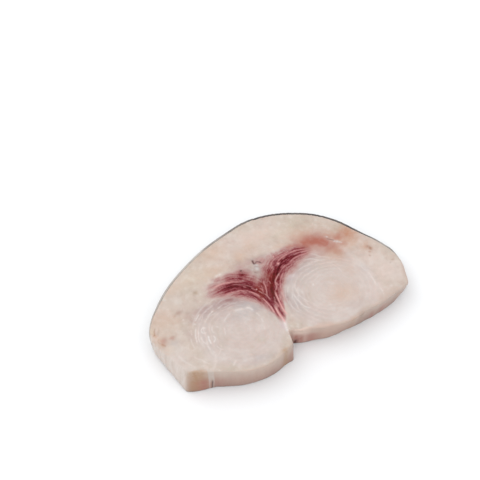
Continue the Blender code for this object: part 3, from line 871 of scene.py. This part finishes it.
def buildSkin():
    values = skinValues
    makeActive(addOutlineCurve("skinStrip"))
    bpy.ops.object.convert(target="MESH")
    around = placesOf(bpy.context.object)[:, :2]
    bpy.ops.object.delete()
    outline = outlinePlaces()
    ends = outline[np.array(values["outlineRun"]) % len(outline)]
    first, last = (np.argmin(np.hypot(*(around - end).T)) for end in ends)
    around = np.roll(around, -first, axis=0)[:(last - first) % len(around) + 1]
    run = smoothRun(around[::3], values["step"])
    headings = np.gradient(run, axis=0)
    headings /= np.hypot(headings[:, 0], headings[:, 1])[:, None]

    bpy.ops.mesh.primitive_grid_add(x_subdivisions=len(run) - 1, y_subdivisions=values["rows"], size=1)
    strip = bpy.context.object
    strip.name = "fishSkin"
    grid = np.array([vertex.co for vertex in strip.data.vertices])
    column = np.rint((grid[:, 0] + 0.5) * (len(run) - 1)).astype(int)
    share = grid[:, 1] + 0.5
    # its two ends are drawn in unevenly up and down the wall
    ragged = values["ragged"] / values["step"] * waveField(share, 0 * share, values["raggedSpan"], seed=1.7)
    nearEnd = np.minimum(column, len(run) - 1 - column) * values["step"]
    inwards = smoothStep(values["raggedReach"], 0, nearEnd) * np.sign(len(run) / 2 - column)
    place = np.clip(column + np.abs(ragged) * inwards, 0, len(run) - 1)
    x, y = (np.interp(place, np.arange(len(run)), run[:, axis]) for axis in (0, 1))
    leanX, leanY = wallLean(x, y)
    softness = smoothStep(*values["softRim"], softEdgeWeight(x, y))
    bottom = heightAt(x, y, 0 * share) + values["footGap"]
    top = thicknessAt(x) - values["rimDrop"] * softness + slowRelief(x, y)
    movePlaces(strip, np.stack([
        x + leanX * (1 - share) + headings[column, 1] * values["start"],
        y + leanY * (1 - share) - headings[column, 0] * values["start"],
        bottom + (top - bottom) * share], -1))
    editWhole(strip, bpy.ops.mesh.normals_make_consistent, inside=False)
    normals = normalsOf(strip)
    outwards = (normals[:, 0] * headings[column, 1] - normals[:, 1] * headings[column, 0]).mean()
    if outwards < 0:
        editWhole(strip, bpy.ops.mesh.flip_normals)
    applyModifier(strip, "On the flesh", "SHRINKWRAP", target=flesh, wrap_method="NEAREST_SURFACEPOINT",
                  wrap_mode="ABOVE_SURFACE", offset=-values["bedded"] * mm)
    lengths = np.concatenate([[0], np.cumsum(np.hypot(*np.diff(run, axis=0).T))])
    way = lengths[column]
    fromEnds = smoothStep(0, values["taper"][0], way) * smoothStep(0, values["taper"][1], lengths[-1] - way)
    weighVertices(strip, "thickness", values["thinnest"] + (1 - values["thinnest"]) * fromEnds)
    applyModifier(strip, "Skin depth", "SOLIDIFY", thickness=values["thickness"] * mm, offset=1,
                  vertex_group="thickness")
    strip.vertex_groups.clear()
    strip.data.shade_smooth()
    return strip


def settle(piece):
    # from where it was drawn to its place in the frame
    movePlaces(piece, placesOf(piece) + (*sliceValues["settle"], 0))


flesh = buildSlice()
print("slice:", len(flesh.data.polygons), "faces")
skin = buildSkin()
print("skin:", len(skin.data.polygons), "faces")


def plainPlaces(piece):
    # places before the walls leaned: x, y and share of the thickness
    places = placesOf(piece)
    share = np.clip(places[:, 2] / thicknessAt(places[:, 0]), 0, 1)
    leanX, leanY = wallLean(places[:, 0], places[:, 1])
    return places[:, 0] - leanX * (1 - share), places[:, 1] - leanY * (1 - share), share


def strayOf(x, y, broadSeed, fineSeed):
    broad, broadSpan = strayFinish["broad"]
    fine, fineSpan = strayFinish["fine"]
    return broad * waveField(x, y, broadSpan, broadSeed) + fine * waveField(x, y, fineSpan, fineSeed)


def wallField(x, y, upwards):
    # share of the wall's colour, and that of the left side, which is painted lighter as painted light
    level = np.abs(upwards)
    fades, ends = wallFinish["level"]
    shift = wallFinish["paintedShadeShift"] * patchField(x, y, wallPatches["paintedWallShade"])
    wall = 1 - smoothStep(fades + shift, ends + shift, level)
    onFlank = smoothStep(*flankFinish["along"], x) * smoothStep(*flankFinish["across"], y)
    cornerX, cornerY = flankFinish["corner"]
    directionX, directionY = flankFinish["direction"]
    past = directionX * (x - cornerX) + directionY * (y - cornerY)
    onFlank *= smoothStep(*flankFinish["past"], past)
    # the face takes the colour of the wall a little way in from the front edge, unevenly, as painted shade
    # of the rounding edge
    uneven = 1 + rimFinish["unevenness"] * waveField(x, y, rimFinish["span"], seed=9.5)
    reach = patchField(x, y, rimPatches) * uneven + 0.01    # never quite nothing
    rim = rimFinish["share"] * smoothStep(*rimFinish["fade"], fromEdge(x, y) / reach)
    wall = np.maximum(wall, rim * (upwards > 0)) * (1 - onFlank)
    return wall, onFlank * smoothStep(*flankFinish["level"], level)


def storeFleshFields(piece):
    x, y, share = plainPlaces(piece)
    strayX = strayOf(x, y, 5.5, 2.5)
    strayY = strayOf(x, y, 8.5, 4.5)
    loose = x + strayX, y + strayY
    tight = x + strayFinish["redShare"] * strayX, y + strayFinish["redShare"] * strayY
    wall, flankSide = wallField(x, y, normalsOf(piece)[:, 2])
    strength, across, along = redMuscleField(*tight)
    fields = {
        "wall": wall,
        "flankSide": flankSide,
        "height": share,
        "redMuscle": strength,
        "fibreAcross": across,
        "fibreAlong": along,
        "redCore": strokeField(*tight, coreStrokes),
        "warmRed": patchField(*loose, warmRedPatches),
        "leftLobe": ringReach(x, y, leftLobe),
        "rightLobe": ringReach(x, y, rightLobe),
        "ringsShow": ringFaintest + (1 - ringFaintest) * patchField(*loose, ringPatches),
        "pinkLinesAndGlints": strokeField(x, y, pinkLineAndGlintStrokes),
        "paleLines": strokeField(x, y, paleStrokes),
        "cracks": strokeField(x, y, crackStrokes),
        "specks": np.maximum(patchField(*loose, speckPatches), strokeField(x, y, speckStrokes)),
        "fat": patchField(*loose, fatPatches),
        "fatGlints": patchField(*loose, fatGlints),
    }
    for name, patches in wallPatches.items():
        fields[name] = np.minimum(1, patchField(x, y, patches))
    for name, patches in tintPatches.items():
        fields[name] = patchField(*loose, patches)
    fields["salmon"] = np.maximum(fields["salmon"], strokeField(*loose, streakStrokes))
    for name, values in fields.items():
        storeField(piece, name, values)


storeFleshFields(flesh)
settle(flesh)
print("fields stored on the flesh")


# Short helpers that add and join shader nodes
def addNode(tree, kind, **settings):
    node = tree.nodes.new(kind)
    for name, value in settings.items():
        setattr(node, name, value)
    return node


def plug(tree, source, socket):
    # a source is another node's output, a plain number or a colour
    if isinstance(source, bpy.types.NodeSocket):
        tree.links.new(source, socket)
    elif socket.type == "RGBA":
        socket.default_value = (*source[:3], 1)
    else:
        socket.default_value = source


lightLevel = 1.38               # how much brighter than its paint a level face comes out


def paint(red, green, blue):
    # a colour as seen in the light, from 0 to 255, as the shader's own linear numbers
    shares = [channel / 255 for channel in (red, green, blue)]
    linear = [s / 12.92 if s <= 0.04045 else ((s + 0.055) / 1.055)**2.4 for s in shares]
    return tuple(channel / lightLevel for channel in linear)


def fieldOf(tree, name):
    return addNode(tree, "ShaderNodeAttribute", attribute_name=name).outputs["Fac"]


def mixed(tree, share, first, second):
    node = addNode(tree, "ShaderNodeMix", data_type="RGBA", clamp_factor=True)
    plug(tree, share, node.inputs[0])
    plug(tree, first, node.inputs[6])
    plug(tree, second, node.inputs[7])
    return node.outputs[2]


def figured(tree, operation, *sources, clamp=False):
    node = addNode(tree, "ShaderNodeMath", operation=operation, use_clamp=clamp)
    for source, socket in zip(sources, node.inputs):
        plug(tree, source, socket)
    return node.outputs[0]


def timesPlus(tree, first, second, added, clamp=False):
    return figured(tree, "MULTIPLY_ADD", first, second, added, clamp=clamp)


def times(tree, first, *others):
    for other in others:
        first = figured(tree, "MULTIPLY", first, other)
    return first


def tinted(tree, colour, tint, *shares):
    # the colour with the tint laid over it by the product of the shares
    return mixed(tree, times(tree, *shares), colour, tint)


def ranged(tree, source, fromLow, fromHigh, toLow=0.0, toHigh=1.0):
    # eased from one range to another, and held at its ends
    node = addNode(tree, "ShaderNodeMapRange", interpolation_type="SMOOTHSTEP")
    for number, value in enumerate((source, fromLow, fromHigh, toLow, toHigh)):
        plug(tree, value, node.inputs[number])
    return node.outputs[0]


# Scale, detail and roughness of each noise
noises = {
    "grainFine": (1.6, 3, 0.6),
    "grainBroad": (0.25, 2, 0.5),
    "ringStray": (0.22, 2, 0.5),
    "ringBreaks": (0.33, 2, 0.6),
    "fibres": (0.85, 4, 0.65),
    "redFlecks": (0.8, 3, 0.6),
    "blush": (0.045, 3, 0.55),
    "mottle": (0.09, 3, 0.55),
    "freckles": (0.2, 3, 0.6),
    "tintPatches": (0.3, 3, 0.6),
    "lineBreaks": (0.6, 3, 0.6),
    "fatBreaks": (0.5, 3, 0.6),
    "wallFlakes": (0.3, 3, 0.55),
    "wallPatches": (0.35, 3, 0.6),
    "seamStray": (0.12, 2, 0.5),
    "flankStripes": (0.35, 3, 0.6),
    "skinClouds": (0.2, 4, 0.6),
    "skinFading": (0.08, 5, 0.65),
}


def noised(tree, place, name):
    node = addNode(tree, "ShaderNodeTexNoise")
    plug(tree, place, node.inputs["Vector"])
    for title, value in zip(("Scale", "Detail", "Roughness"), noises[name]):
        node.inputs[title].default_value = value
    return node.outputs["Fac"]


def ramped(tree, source, stops):
    node = addNode(tree, "ShaderNodeValToRGB")
    plug(tree, source, node.inputs[0])
    elements = node.color_ramp.elements
    while len(elements) < len(stops):
        elements.new(0.5)
    for element, (position, colour) in zip(elements, stops):
        element.position = position
        element.color = (*colour, 1)
    return node.outputs["Color"]


def millimetrePlace(tree, stretch=(1, 1, 1)):
    # place on the piece with one unit to a millimetre
    place = addNode(tree, "ShaderNodeTexCoord").outputs["Object"]
    mapping = addNode(tree, "ShaderNodeMapping")
    mapping.inputs["Scale"].default_value = [value / mm for value in stretch]
    plug(tree, place, mapping.inputs["Vector"])
    return mapping.outputs["Vector"]


def newMaterial(name, **settings):
    material = bpy.data.materials.new(name)
    material.use_nodes = True
    shader = material.node_tree.nodes["Principled BSDF"]
    for title, value in settings.items():
        shader.inputs[title].default_value = value
    return material, material.node_tree, shader


def finishSurface(tree, shader, colour, roughness, relief, strength, depth):
    # joins colour, gloss and a bump of this strength and depth in millimetres
    bump = addNode(tree, "ShaderNodeBump")
    bump.inputs["Strength"].default_value = strength
    bump.inputs["Distance"].default_value = depth * mm
    plug(tree, relief, bump.inputs["Height"])
    plug(tree, colour, shader.inputs["Base Color"])
    plug(tree, roughness, shader.inputs["Roughness"])
    plug(tree, bump.outputs["Normal"], shader.inputs["Normal"])


def newGroup(name, inputs, outputs):
    # inputs are titles with their values, None for a place, and outputs are titles of numbers
    group = bpy.data.node_groups.new(name, "ShaderNodeTree")
    for title, value in inputs.items():
        kind = "NodeSocketVector" if value is None else "NodeSocketFloat"
        socket = group.interface.new_socket(title, in_out="INPUT", socket_type=kind)
        if value is not None:
            socket.default_value = value
    for title in outputs:
        group.interface.new_socket(title, in_out="OUTPUT", socket_type="NodeSocketFloat")
    return group, addNode(group, "NodeGroupInput").outputs, addNode(group, "NodeGroupOutput").inputs


def placeGroup(tree, group, **sources):
    node = addNode(tree, "ShaderNodeGroup", node_tree=group)
    for name, source in sources.items():
        plug(tree, source, node.inputs[name])
    return node.outputs


def buildWetGrain():
    # fine wet grain: a height for the bump, and a gloss that comes and goes
    inputs = {"Place": None, "Fineness": 1.0, "Roughness": 0.4, "Spread": 0.1}
    group, given, result = newGroup("wetGrain", inputs, ("Height", "Roughness"))
    scaled = addNode(group, "ShaderNodeVectorMath", operation="SCALE")
    plug(group, given["Place"], scaled.inputs[0])
    plug(group, given["Fineness"], scaled.inputs["Scale"])
    fine = noised(group, scaled.outputs[0], "grainFine")
    broad = noised(group, scaled.outputs[0], "grainBroad")
    plug(group, timesPlus(group, fine, 0.35, broad), result["Height"])
    swing = times(group, figured(group, "SUBTRACT", broad, 0.5), given["Spread"])
    plug(group, timesPlus(group, swing, 2.0, given["Roughness"]), result["Roughness"])
    return group


def buildFlakeRings():
    # thin pale lines between the rings of flakes, with a darker band beside each
    inputs = {"Reach": 0.0, "Place": None, "Spacing": 3.0, "Edge": 27.0}
    group, given, result = newGroup("flakeRings", inputs, ("Line", "Band"))
    strayed = timesPlus(group, noised(group, given["Place"], "ringStray"), 2.2, given["Reach"])
    turns = figured(group, "DIVIDE", strayed, given["Spacing"])
    swing = figured(group, "SINE", times(group, turns, 2 * math.pi))
    even = timesPlus(group, swing, 0.5, 0.5)
    broken = ranged(group, noised(group, given["Place"], "ringBreaks"), 0.35, 0.65)
    inside = ranged(group, figured(group, "SUBTRACT", given["Reach"], given["Edge"]), 3, -3)
    plug(group, times(group, figured(group, "POWER", even, 7.0), broken, inside), result["Line"])
    plug(group, times(group, figured(group, "SUBTRACT", 1.0, even), inside), result["Band"])
    return group


wetGrain = buildWetGrain()
flakeRings = buildFlakeRings()

# Colours of the flesh as read on screen
fleshColours = {
    "lobe": (214, 198, 190),
    "band": (211, 194, 181),
    "blush": (217, 196, 188),
    "shell": (230, 210, 201),
    "peach": (216, 184, 163),
    "salmon": (181, 112, 96),
    "orange": (196, 140, 108),
    "olive": (186, 176, 152),
    "mauve": (170, 140, 139),
    "cool": (186, 175, 174),
    "lilac": (214, 192, 194),
    "milk": (222, 209, 202),
    "cream": (226, 206, 180),
    "wine": (162, 120, 117),
    "freckleDark": (190, 166, 156),
    "frecklePale": (234, 224, 218),
    "fat": (166, 138, 134),
    # painted glints (highlights)
    "fatGlints": (218, 214, 211),
    "ringLine": (230, 219, 214),
    "ringBand": (196, 181, 176),
    "pale": (240, 230, 225),
    # pink lines, and painted glints (highlights) in the same colour
    "pinkLinesAndGlints": (240, 176, 172),
    "warmRed": (132, 40, 24),
    "cracks": (100, 60, 60),
    "specks": (160, 112, 84),
    # the walls, darker than the face: partly their own tone, partly painted shade
    "wallTop": (212, 192, 179),
    "wallMiddle": (194, 165, 152),
    "wallFoot": (172, 140, 129),
    # painted contact shadow at the foot of a wall
    "paintedFootShadow": (120, 98, 90),
    # the left side, painted lighter as painted light, and darker at its foot as painted shade
    "flankPaintedLight": (230, 216, 206),
    "flankFootPaintedShade": (214, 200, 194),
    "amber": (186, 148, 114),
    # the next two are painted light for walls that lie in shade
    "paintedWallLight": (214, 182, 167),
    "paintedNotchLight": (250, 224, 210),
    "tan": (172, 146, 130),
    "rosy": (184, 124, 115),
    "blood": (84, 26, 22),
    # painted shade
    "paintedWallShade": (180, 156, 149),
    "seam": (212, 200, 191),
    "slit": (118, 96, 88),
}
# Red muscle from its faint edge to its darkest core
redRamp = [
    (0.0, (208, 184, 176)), (0.14, (196, 162, 156)), (0.3, (181, 134, 130)), (0.46, (164, 103, 103)),
    (0.62, (142, 66, 73)), (0.78, (117, 31, 41)), (0.9, (96, 5, 15)), (1.0, (74, 0, 4)),
]
fleshValues = {
    "roughness": 0.38,
    "roughSpread": 0.12,
    "redRoughness": 0.28,
    "specular": 0.18,
    "refraction": 1.38,
    "subsurface": 0.15,
    "subsurfaceReach": 1.4,
    "subsurfaceTint": (1.0, 0.5, 0.4),
    "grainBump": 0.35,
    "grainDepth": 0.2,
    "lobeEdges": ((31, 24), (33, 26)),  # distance from each lobe's middle over which its cream ends
    "ringEdges": (27.0, 30.0),          # and at which its rings end
    "lineStrength": 0.6,
    "bandStrength": 0.46,
    "fibreContrast": 0.52,              # of the red muscle's fibres, and the same in its core
    "coreContrast": 0.32,
    "fibreStretch": 0.16,
    "fibreRise": 2.0,
    "coreDepth": 0.36,
    "presenceDepth": 0.66,
    "warmth": 0.65,
    "wallUneven": 0.45,
    # the dark foot is a painted contact shadow
    "foot": (0.1, 0.85),                # height of the dark foot of a wall, and its strength
    "frontFrom": (-36, -39),            # y beyond which the seams show
    "seamPlaces": (-67.6, -65.0),       # x of the pale seams on the front wall
    "hazePlace": -66.2,
    "slitPlace": -65.8,
}


# How strongly each patch of tint shows at most, in the order in which they are laid on
tintStrengths = {
    "olive": 0.5, "shell": 0.8, "peach": 0.75, "mauve": 0.75, "cool": 0.8, "milk": 0.8, "cream": 0.8,
    "lilac": 0.8, "wine": 0.9, "orange": 0.85,
}
# some of the wall patches are painted light and painted shade
wallStrengths = {
    "paintedWallLight": 0.8, "paintedNotchLight": 0.9, "paintedWallShade": 0.8, "tan": 0.85, "amber": 0.85, "rosy": 0.85, "blood": 0.95,
}
# Shares of the height over which some of the wall's patches fade upwards
wallFades = {"rosy": (0.75, 0.45), "blood": (0.4, 0.15)}
uprightGrain = (1, 1, 0.15)     # stretches noise up the walls


def addRedMuscle(tree, colour, place):
    # fibres run along each bundle, darkest in its core
    values = fleshValues
    red = fieldOf(tree, "redMuscle")
    core = fieldOf(tree, "redCore")
    fibrePlace = addNode(tree, "ShaderNodeCombineXYZ")
    plug(tree, fieldOf(tree, "fibreAcross"), fibrePlace.inputs[0])
    plug(tree, times(tree, fieldOf(tree, "fibreAlong"), values["fibreStretch"]), fibrePlace.inputs[1])
    fibres = ranged(tree, noised(tree, fibrePlace.outputs[0], "fibres"), 0.3, 0.7, -0.5, 0.5)
    fleck = ranged(tree, noised(tree, place, "redFlecks"), 0.3, 0.7, -0.2, 0.2)
    contrast = ranged(tree, core, 0, 1, values["fibreContrast"], values["coreContrast"])
    swing = times(tree, red, contrast, figured(tree, "ADD", fibres, fleck))
    depth = timesPlus(tree, red, values["presenceDepth"], swing)
    depth = timesPlus(tree, core, values["coreDepth"], depth, clamp=True)
    redColour = ramped(tree, depth, [(place, paint(*shade)) for place, shade in redRamp])
    redColour = tinted(tree, redColour, paint(*fleshColours["warmRed"]), fieldOf(tree, "warmRed"),
                       values["warmth"])
    return red, fibres, mixed(tree, ranged(tree, red, 0.0, 0.28), colour, redColour)


def awayFrom(tree, across, middle):
    return figured(tree, "ABSOLUTE", figured(tree, "SUBTRACT", across, middle))


def addWallColour(tree, tint, place, height):
    # darker and browner than the face and towards the foot, partly the flesh's own tone and
    # partly painted shade, in uneven upright flakes, with a seam up the front
    values = fleshValues
    flakes = noised(tree, millimetrePlace(tree, uprightGrain), "wallFlakes")
    flakes = figured(tree, "SUBTRACT", flakes, 0.5)
    shade = timesPlus(tree, flakes, values["wallUneven"], height, clamp=True)
    colour = ramped(tree, shade, [
        (0.0, tint["wallFoot"]), (0.45, tint["wallMiddle"]), (0.95, tint["wallTop"])])
    patchy = ranged(tree, noised(tree, place, "wallPatches"), 0.25, 0.6, 0.55, 1.0)
    for name, most in wallStrengths.items():
        shares = [fieldOf(tree, name), patchy, most]
        if name in wallFades:
            shares.append(ranged(tree, height, *wallFades[name]))
        colour = tinted(tree, colour, tint[name], *shares)
    # painted contact shadow along the foot of the wall
    footHeight, footStrength = values["foot"]
    colour = mixed(tree, ranged(tree, height, footHeight, 0.0, 0, footStrength), colour, tint["paintedFootShadow"])
    # two pale seams, with a haze between them higher up and a dark slit lower down
    parts = addNode(tree, "ShaderNodeSeparateXYZ")
    plug(tree, place, parts.inputs[0])
    front = ranged(tree, parts.outputs[1], *values["frontFrom"])
    wander = timesPlus(tree, noised(tree, place, "seamStray"), 1.2, -0.6)
    across = figured(tree, "ADD", parts.outputs[0], wander)
    haze = ranged(tree, awayFrom(tree, across, values["hazePlace"]), 2.4, 0.8, 0, 0.65)
    colour = tinted(tree, colour, tint["seam"], haze, ranged(tree, height, 0.25, 0.7), front)
    for middle in values["seamPlaces"]:
        seam = ranged(tree, awayFrom(tree, across, middle), 0.8, 0.1, 0, 0.5)
        colour = tinted(tree, colour, tint["seam"], seam, front)
    slit = ranged(tree, awayFrom(tree, across, values["slitPlace"]), 0.9, 0.2, 0, 0.8)
    return tinted(tree, colour, tint["slit"], slit, ranged(tree, height, 0.6, 0.35), front)


def addCutFace(tree, tint, place):
    # cream of the lobes, warmer outer band, a slow blush over both, mottling and freckles
    reaches = fieldOf(tree, "leftLobe"), fieldOf(tree, "rightLobe")
    inLobe = figured(tree, "MAXIMUM", *(
        ranged(tree, reach, *edges) for reach, edges in zip(reaches, fleshValues["lobeEdges"])))
    colour = mixed(tree, inLobe, tint["band"], tint["lobe"])
    blush = ranged(tree, noised(tree, place, "blush"), 0.42, 0.68)
    colour = tinted(tree, colour, tint["blush"], blush, 0.5)
    mottle = noised(tree, place, "mottle")
    colour = mixed(tree, ranged(tree, mottle, 0.5, 0.72, 0, 0.25), colour, tint["olive"])
    colour = mixed(tree, ranged(tree, mottle, 0.5, 0.3, 0, 0.25), colour, tint["pale"])
    freckles = noised(tree, place, "freckles")
    fewer = timesPlus(tree, inLobe, -0.5, 1.0)
    for name, full in (("freckleDark", 0.7), ("frecklePale", 0.3)):
        colour = tinted(tree, colour, tint[name], ranged(tree, freckles, 0.5, full, 0, 0.36), fewer)
    patchy = noised(tree, place, "tintPatches")
    for name, most in tintStrengths.items():
        uneven = ranged(tree, patchy, 0.25, 0.6, 0.55 * most, most)
        colour = tinted(tree, colour, tint[name], fieldOf(tree, name), uneven)

    # rings of flakes and pale lines
    ringsShow = fieldOf(tree, "ringsShow")
    for reach, spacing, edge in zip(reaches, reliefValues["ringSpacing"], fleshValues["ringEdges"]):
        rings = placeGroup(tree, flakeRings, Reach=reach, Place=place, Spacing=spacing, Edge=edge)
        for part, strength in (("Band", "bandStrength"), ("Line", "lineStrength")):
            shade = tint["ring" + part]
            colour = tinted(tree, colour, shade, rings[part], ringsShow, fleshValues[strength])
    broken = ranged(tree, noised(tree, place, "lineBreaks"), 0.3, 0.6, 0.5, 0.95)
    colour = tinted(tree, colour, tint["pale"], fieldOf(tree, "paleLines"), broken)

    # red muscle, fat at its fork, and the fine marks
    red, fibres, colour = addRedMuscle(tree, colour, place)
    marks = {
        "salmon": (ranged(tree, patchy, 0.25, 0.6, 0.84, 0.98), ranged(tree, red, 0.7, 0.2)),
        "fat": (ranged(tree, noised(tree, place, "fatBreaks"), 0.3, 0.65, 0.5, 0.9),),
        "fatGlints": (0.85,),
        "pinkLinesAndGlints": (0.9,),
        "specks": (0.8,),
        "cracks": (),
    }
    for name, shares in marks.items():
        colour = tinted(tree, colour, tint[name], fieldOf(tree, name), *shares)
    return red, fibres, colour


def addFlank(tree, tint, height):
    # the left side, painted lighter as painted light and darker at its foot as painted shade, with faint
    # upright stripes
    colour = ramped(tree, height, [(0.0, tint["flankFootPaintedShade"]), (0.35, tint["flankPaintedLight"])])
    stripes = noised(tree, millimetrePlace(tree, uprightGrain), "flankStripes")
    colour = mixed(tree, ranged(tree, stripes, 0.46, 0.66, 0, 0.6), colour, tint["wallTop"])
    return mixed(tree, ranged(tree, stripes, 0.46, 0.3, 0, 0.6), colour, tint["pale"])


def buildFleshMaterial():
    values = fleshValues
    material, tree, shader = newMaterial("rawSwordfishFlesh", **{
        "Subsurface Weight": values["subsurface"],
        "Subsurface Radius": values["subsurfaceTint"],
        "Subsurface Scale": values["subsurfaceReach"] * mm,
        "IOR": values["refraction"],
        "Specular IOR Level": values["specular"],
    })
    tint = {name: paint(*colour) for name, colour in fleshColours.items()}
    place = millimetrePlace(tree)
    height = fieldOf(tree, "height")
    red, fibres, colour = addCutFace(tree, tint, place)
    colour = tinted(tree, colour, addFlank(tree, tint, height), fieldOf(tree, "flankSide"), 0.9)
    colour = mixed(tree, fieldOf(tree, "wall"), colour, addWallColour(tree, tint, place, height))
    grain = placeGroup(tree, wetGrain, Place=place, Fineness=1.0, Roughness=values["roughness"],
                       Spread=values["roughSpread"])
    roughness = timesPlus(tree, red, values["redRoughness"] - values["roughness"], grain["Roughness"])
    relief = timesPlus(tree, times(tree, fibres, red), values["fibreRise"], grain["Height"])
    finishSurface(tree, shader, colour, roughness, relief, values["grainBump"], values["grainDepth"])
    return material


skinFinish = {
    "dark": (78, 70, 68),
    "brown": (104, 92, 85),
    "pale": (200, 191, 183),
    "roughness": 0.34,
    "paleLeft": (26, -40),      # x over which the skin pales to the left
    "paleRight": (76, 90),
    "paleRightShare": 0.65,
    "wander": (-0.3, 0.12),     # how unevenly it pales
    "glossSpread": 0.12,
    "grainFineness": 1.6,
    "grainBump": 0.4,
    "grainDepth": 0.15,
}


def buildSkinMaterial():
    material, tree, shader = newMaterial("swordfishSkin")
    place = millimetrePlace(tree)
    colour = mixed(tree, ranged(tree, noised(tree, place, "skinClouds"), 0.4, 0.65),
                   paint(*skinFinish["dark"]), paint(*skinFinish["brown"]))
    wander = ranged(tree, noised(tree, place, "skinFading"), 0.3, 0.7, *skinFinish["wander"])
    faded = figured(tree, "ADD", fieldOf(tree, "pale"), wander, clamp=True)
    colour = mixed(tree, faded, colour, paint(*skinFinish["pale"]))
    grain = placeGroup(tree, wetGrain, Place=place, Fineness=skinFinish["grainFineness"],
                       Roughness=skinFinish["roughness"], Spread=skinFinish["glossSpread"])
    finishSurface(tree, shader, colour, grain["Roughness"], grain["Height"],
                  skinFinish["grainBump"], skinFinish["grainDepth"])
    return material


skinPlaces = placesOf(skin)
paleRight = skinFinish["paleRightShare"] * smoothStep(*skinFinish["paleRight"], skinPlaces[:, 0])
storeField(skin, "pale", np.maximum(smoothStep(*skinFinish["paleLeft"], skinPlaces[:, 0]), paleRight))
settle(skin)
for piece, material in ((flesh, buildFleshMaterial()), (skin, buildSkinMaterial())):
    piece.data.materials.clear()
    piece.data.materials.append(material)
print("materials on")


# Floor, room and lights, in metres
stageValues = {
    "floorSize": 6.0,
    "floorDrop": 0.00005,
    "floorColour": (0.79, 0.79, 0.793),
    "worldColour": (0.97, 0.985, 1.0),
    "worldStrength": 1.2,
    "lights": {                 # place, size and power
        "keyLight": ((-0.6, 0.85, 1.25), 1.4, 5),
        "fillLight": ((-0.2, -0.2, 1.7), 1.8, 4),
    },
}


def addFloor():
    deselectAll()
    bpy.ops.mesh.primitive_plane_add(size=stageValues["floorSize"],
                                     location=(0, 0, -stageValues["floorDrop"]))
    floor = bpy.context.object
    floor.name = "floor"
    makeActive(floor)
    bpy.ops.object.transform_apply(location=True, rotation=True, scale=True)
    material = newMaterial("paleTable", **{
        "Base Color": (*stageValues["floorColour"], 1),
        "Roughness": 0.9,
        "Specular IOR Level": 0.1,
    })[0]
    floor.data.materials.append(material)


def addSoftLight(name, place, size, power):
    bpy.ops.object.light_add(type="AREA", location=place)
    lamp = bpy.context.object
    lamp.name = name
    lamp.rotation_euler = (-Vector(place)).to_track_quat("-Z", "Y").to_euler()
    lamp.data.shape = "DISK"
    lamp.data.size = size
    lamp.data.energy = power


def addWorld():
    world = bpy.data.worlds.new("paleRoom")
    world.use_nodes = True
    background = world.node_tree.nodes["Background"]
    background.inputs["Color"].default_value = (*stageValues["worldColour"], 1)
    background.inputs["Strength"].default_value = stageValues["worldStrength"]
    bpy.context.scene.world = world


cameraValues = {
    "place": (-198.2, -373.26, 675.18),
    "turn": (35, 0, -25),       # degrees
    "lens": 85,
    "sensor": 36,               # width
}


def addCamera():
    bpy.ops.object.camera_add(location=Vector(cameraValues["place"]) * mm,
                              rotation=[math.radians(turn) for turn in cameraValues["turn"]])
    camera = bpy.context.object
    camera.data.lens = cameraValues["lens"]
    camera.data.sensor_width = cameraValues["sensor"]
    bpy.context.scene.camera = camera


addFloor()
for name, light in stageValues["lights"].items():
    addSoftLight(name, *light)
addWorld()
addCamera()
bpy.context.scene.view_settings.view_transform = "Standard"
print("floor, lights and camera ready")

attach(flesh, "root")
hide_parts("swordfish_fillet")
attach(skin, "root")
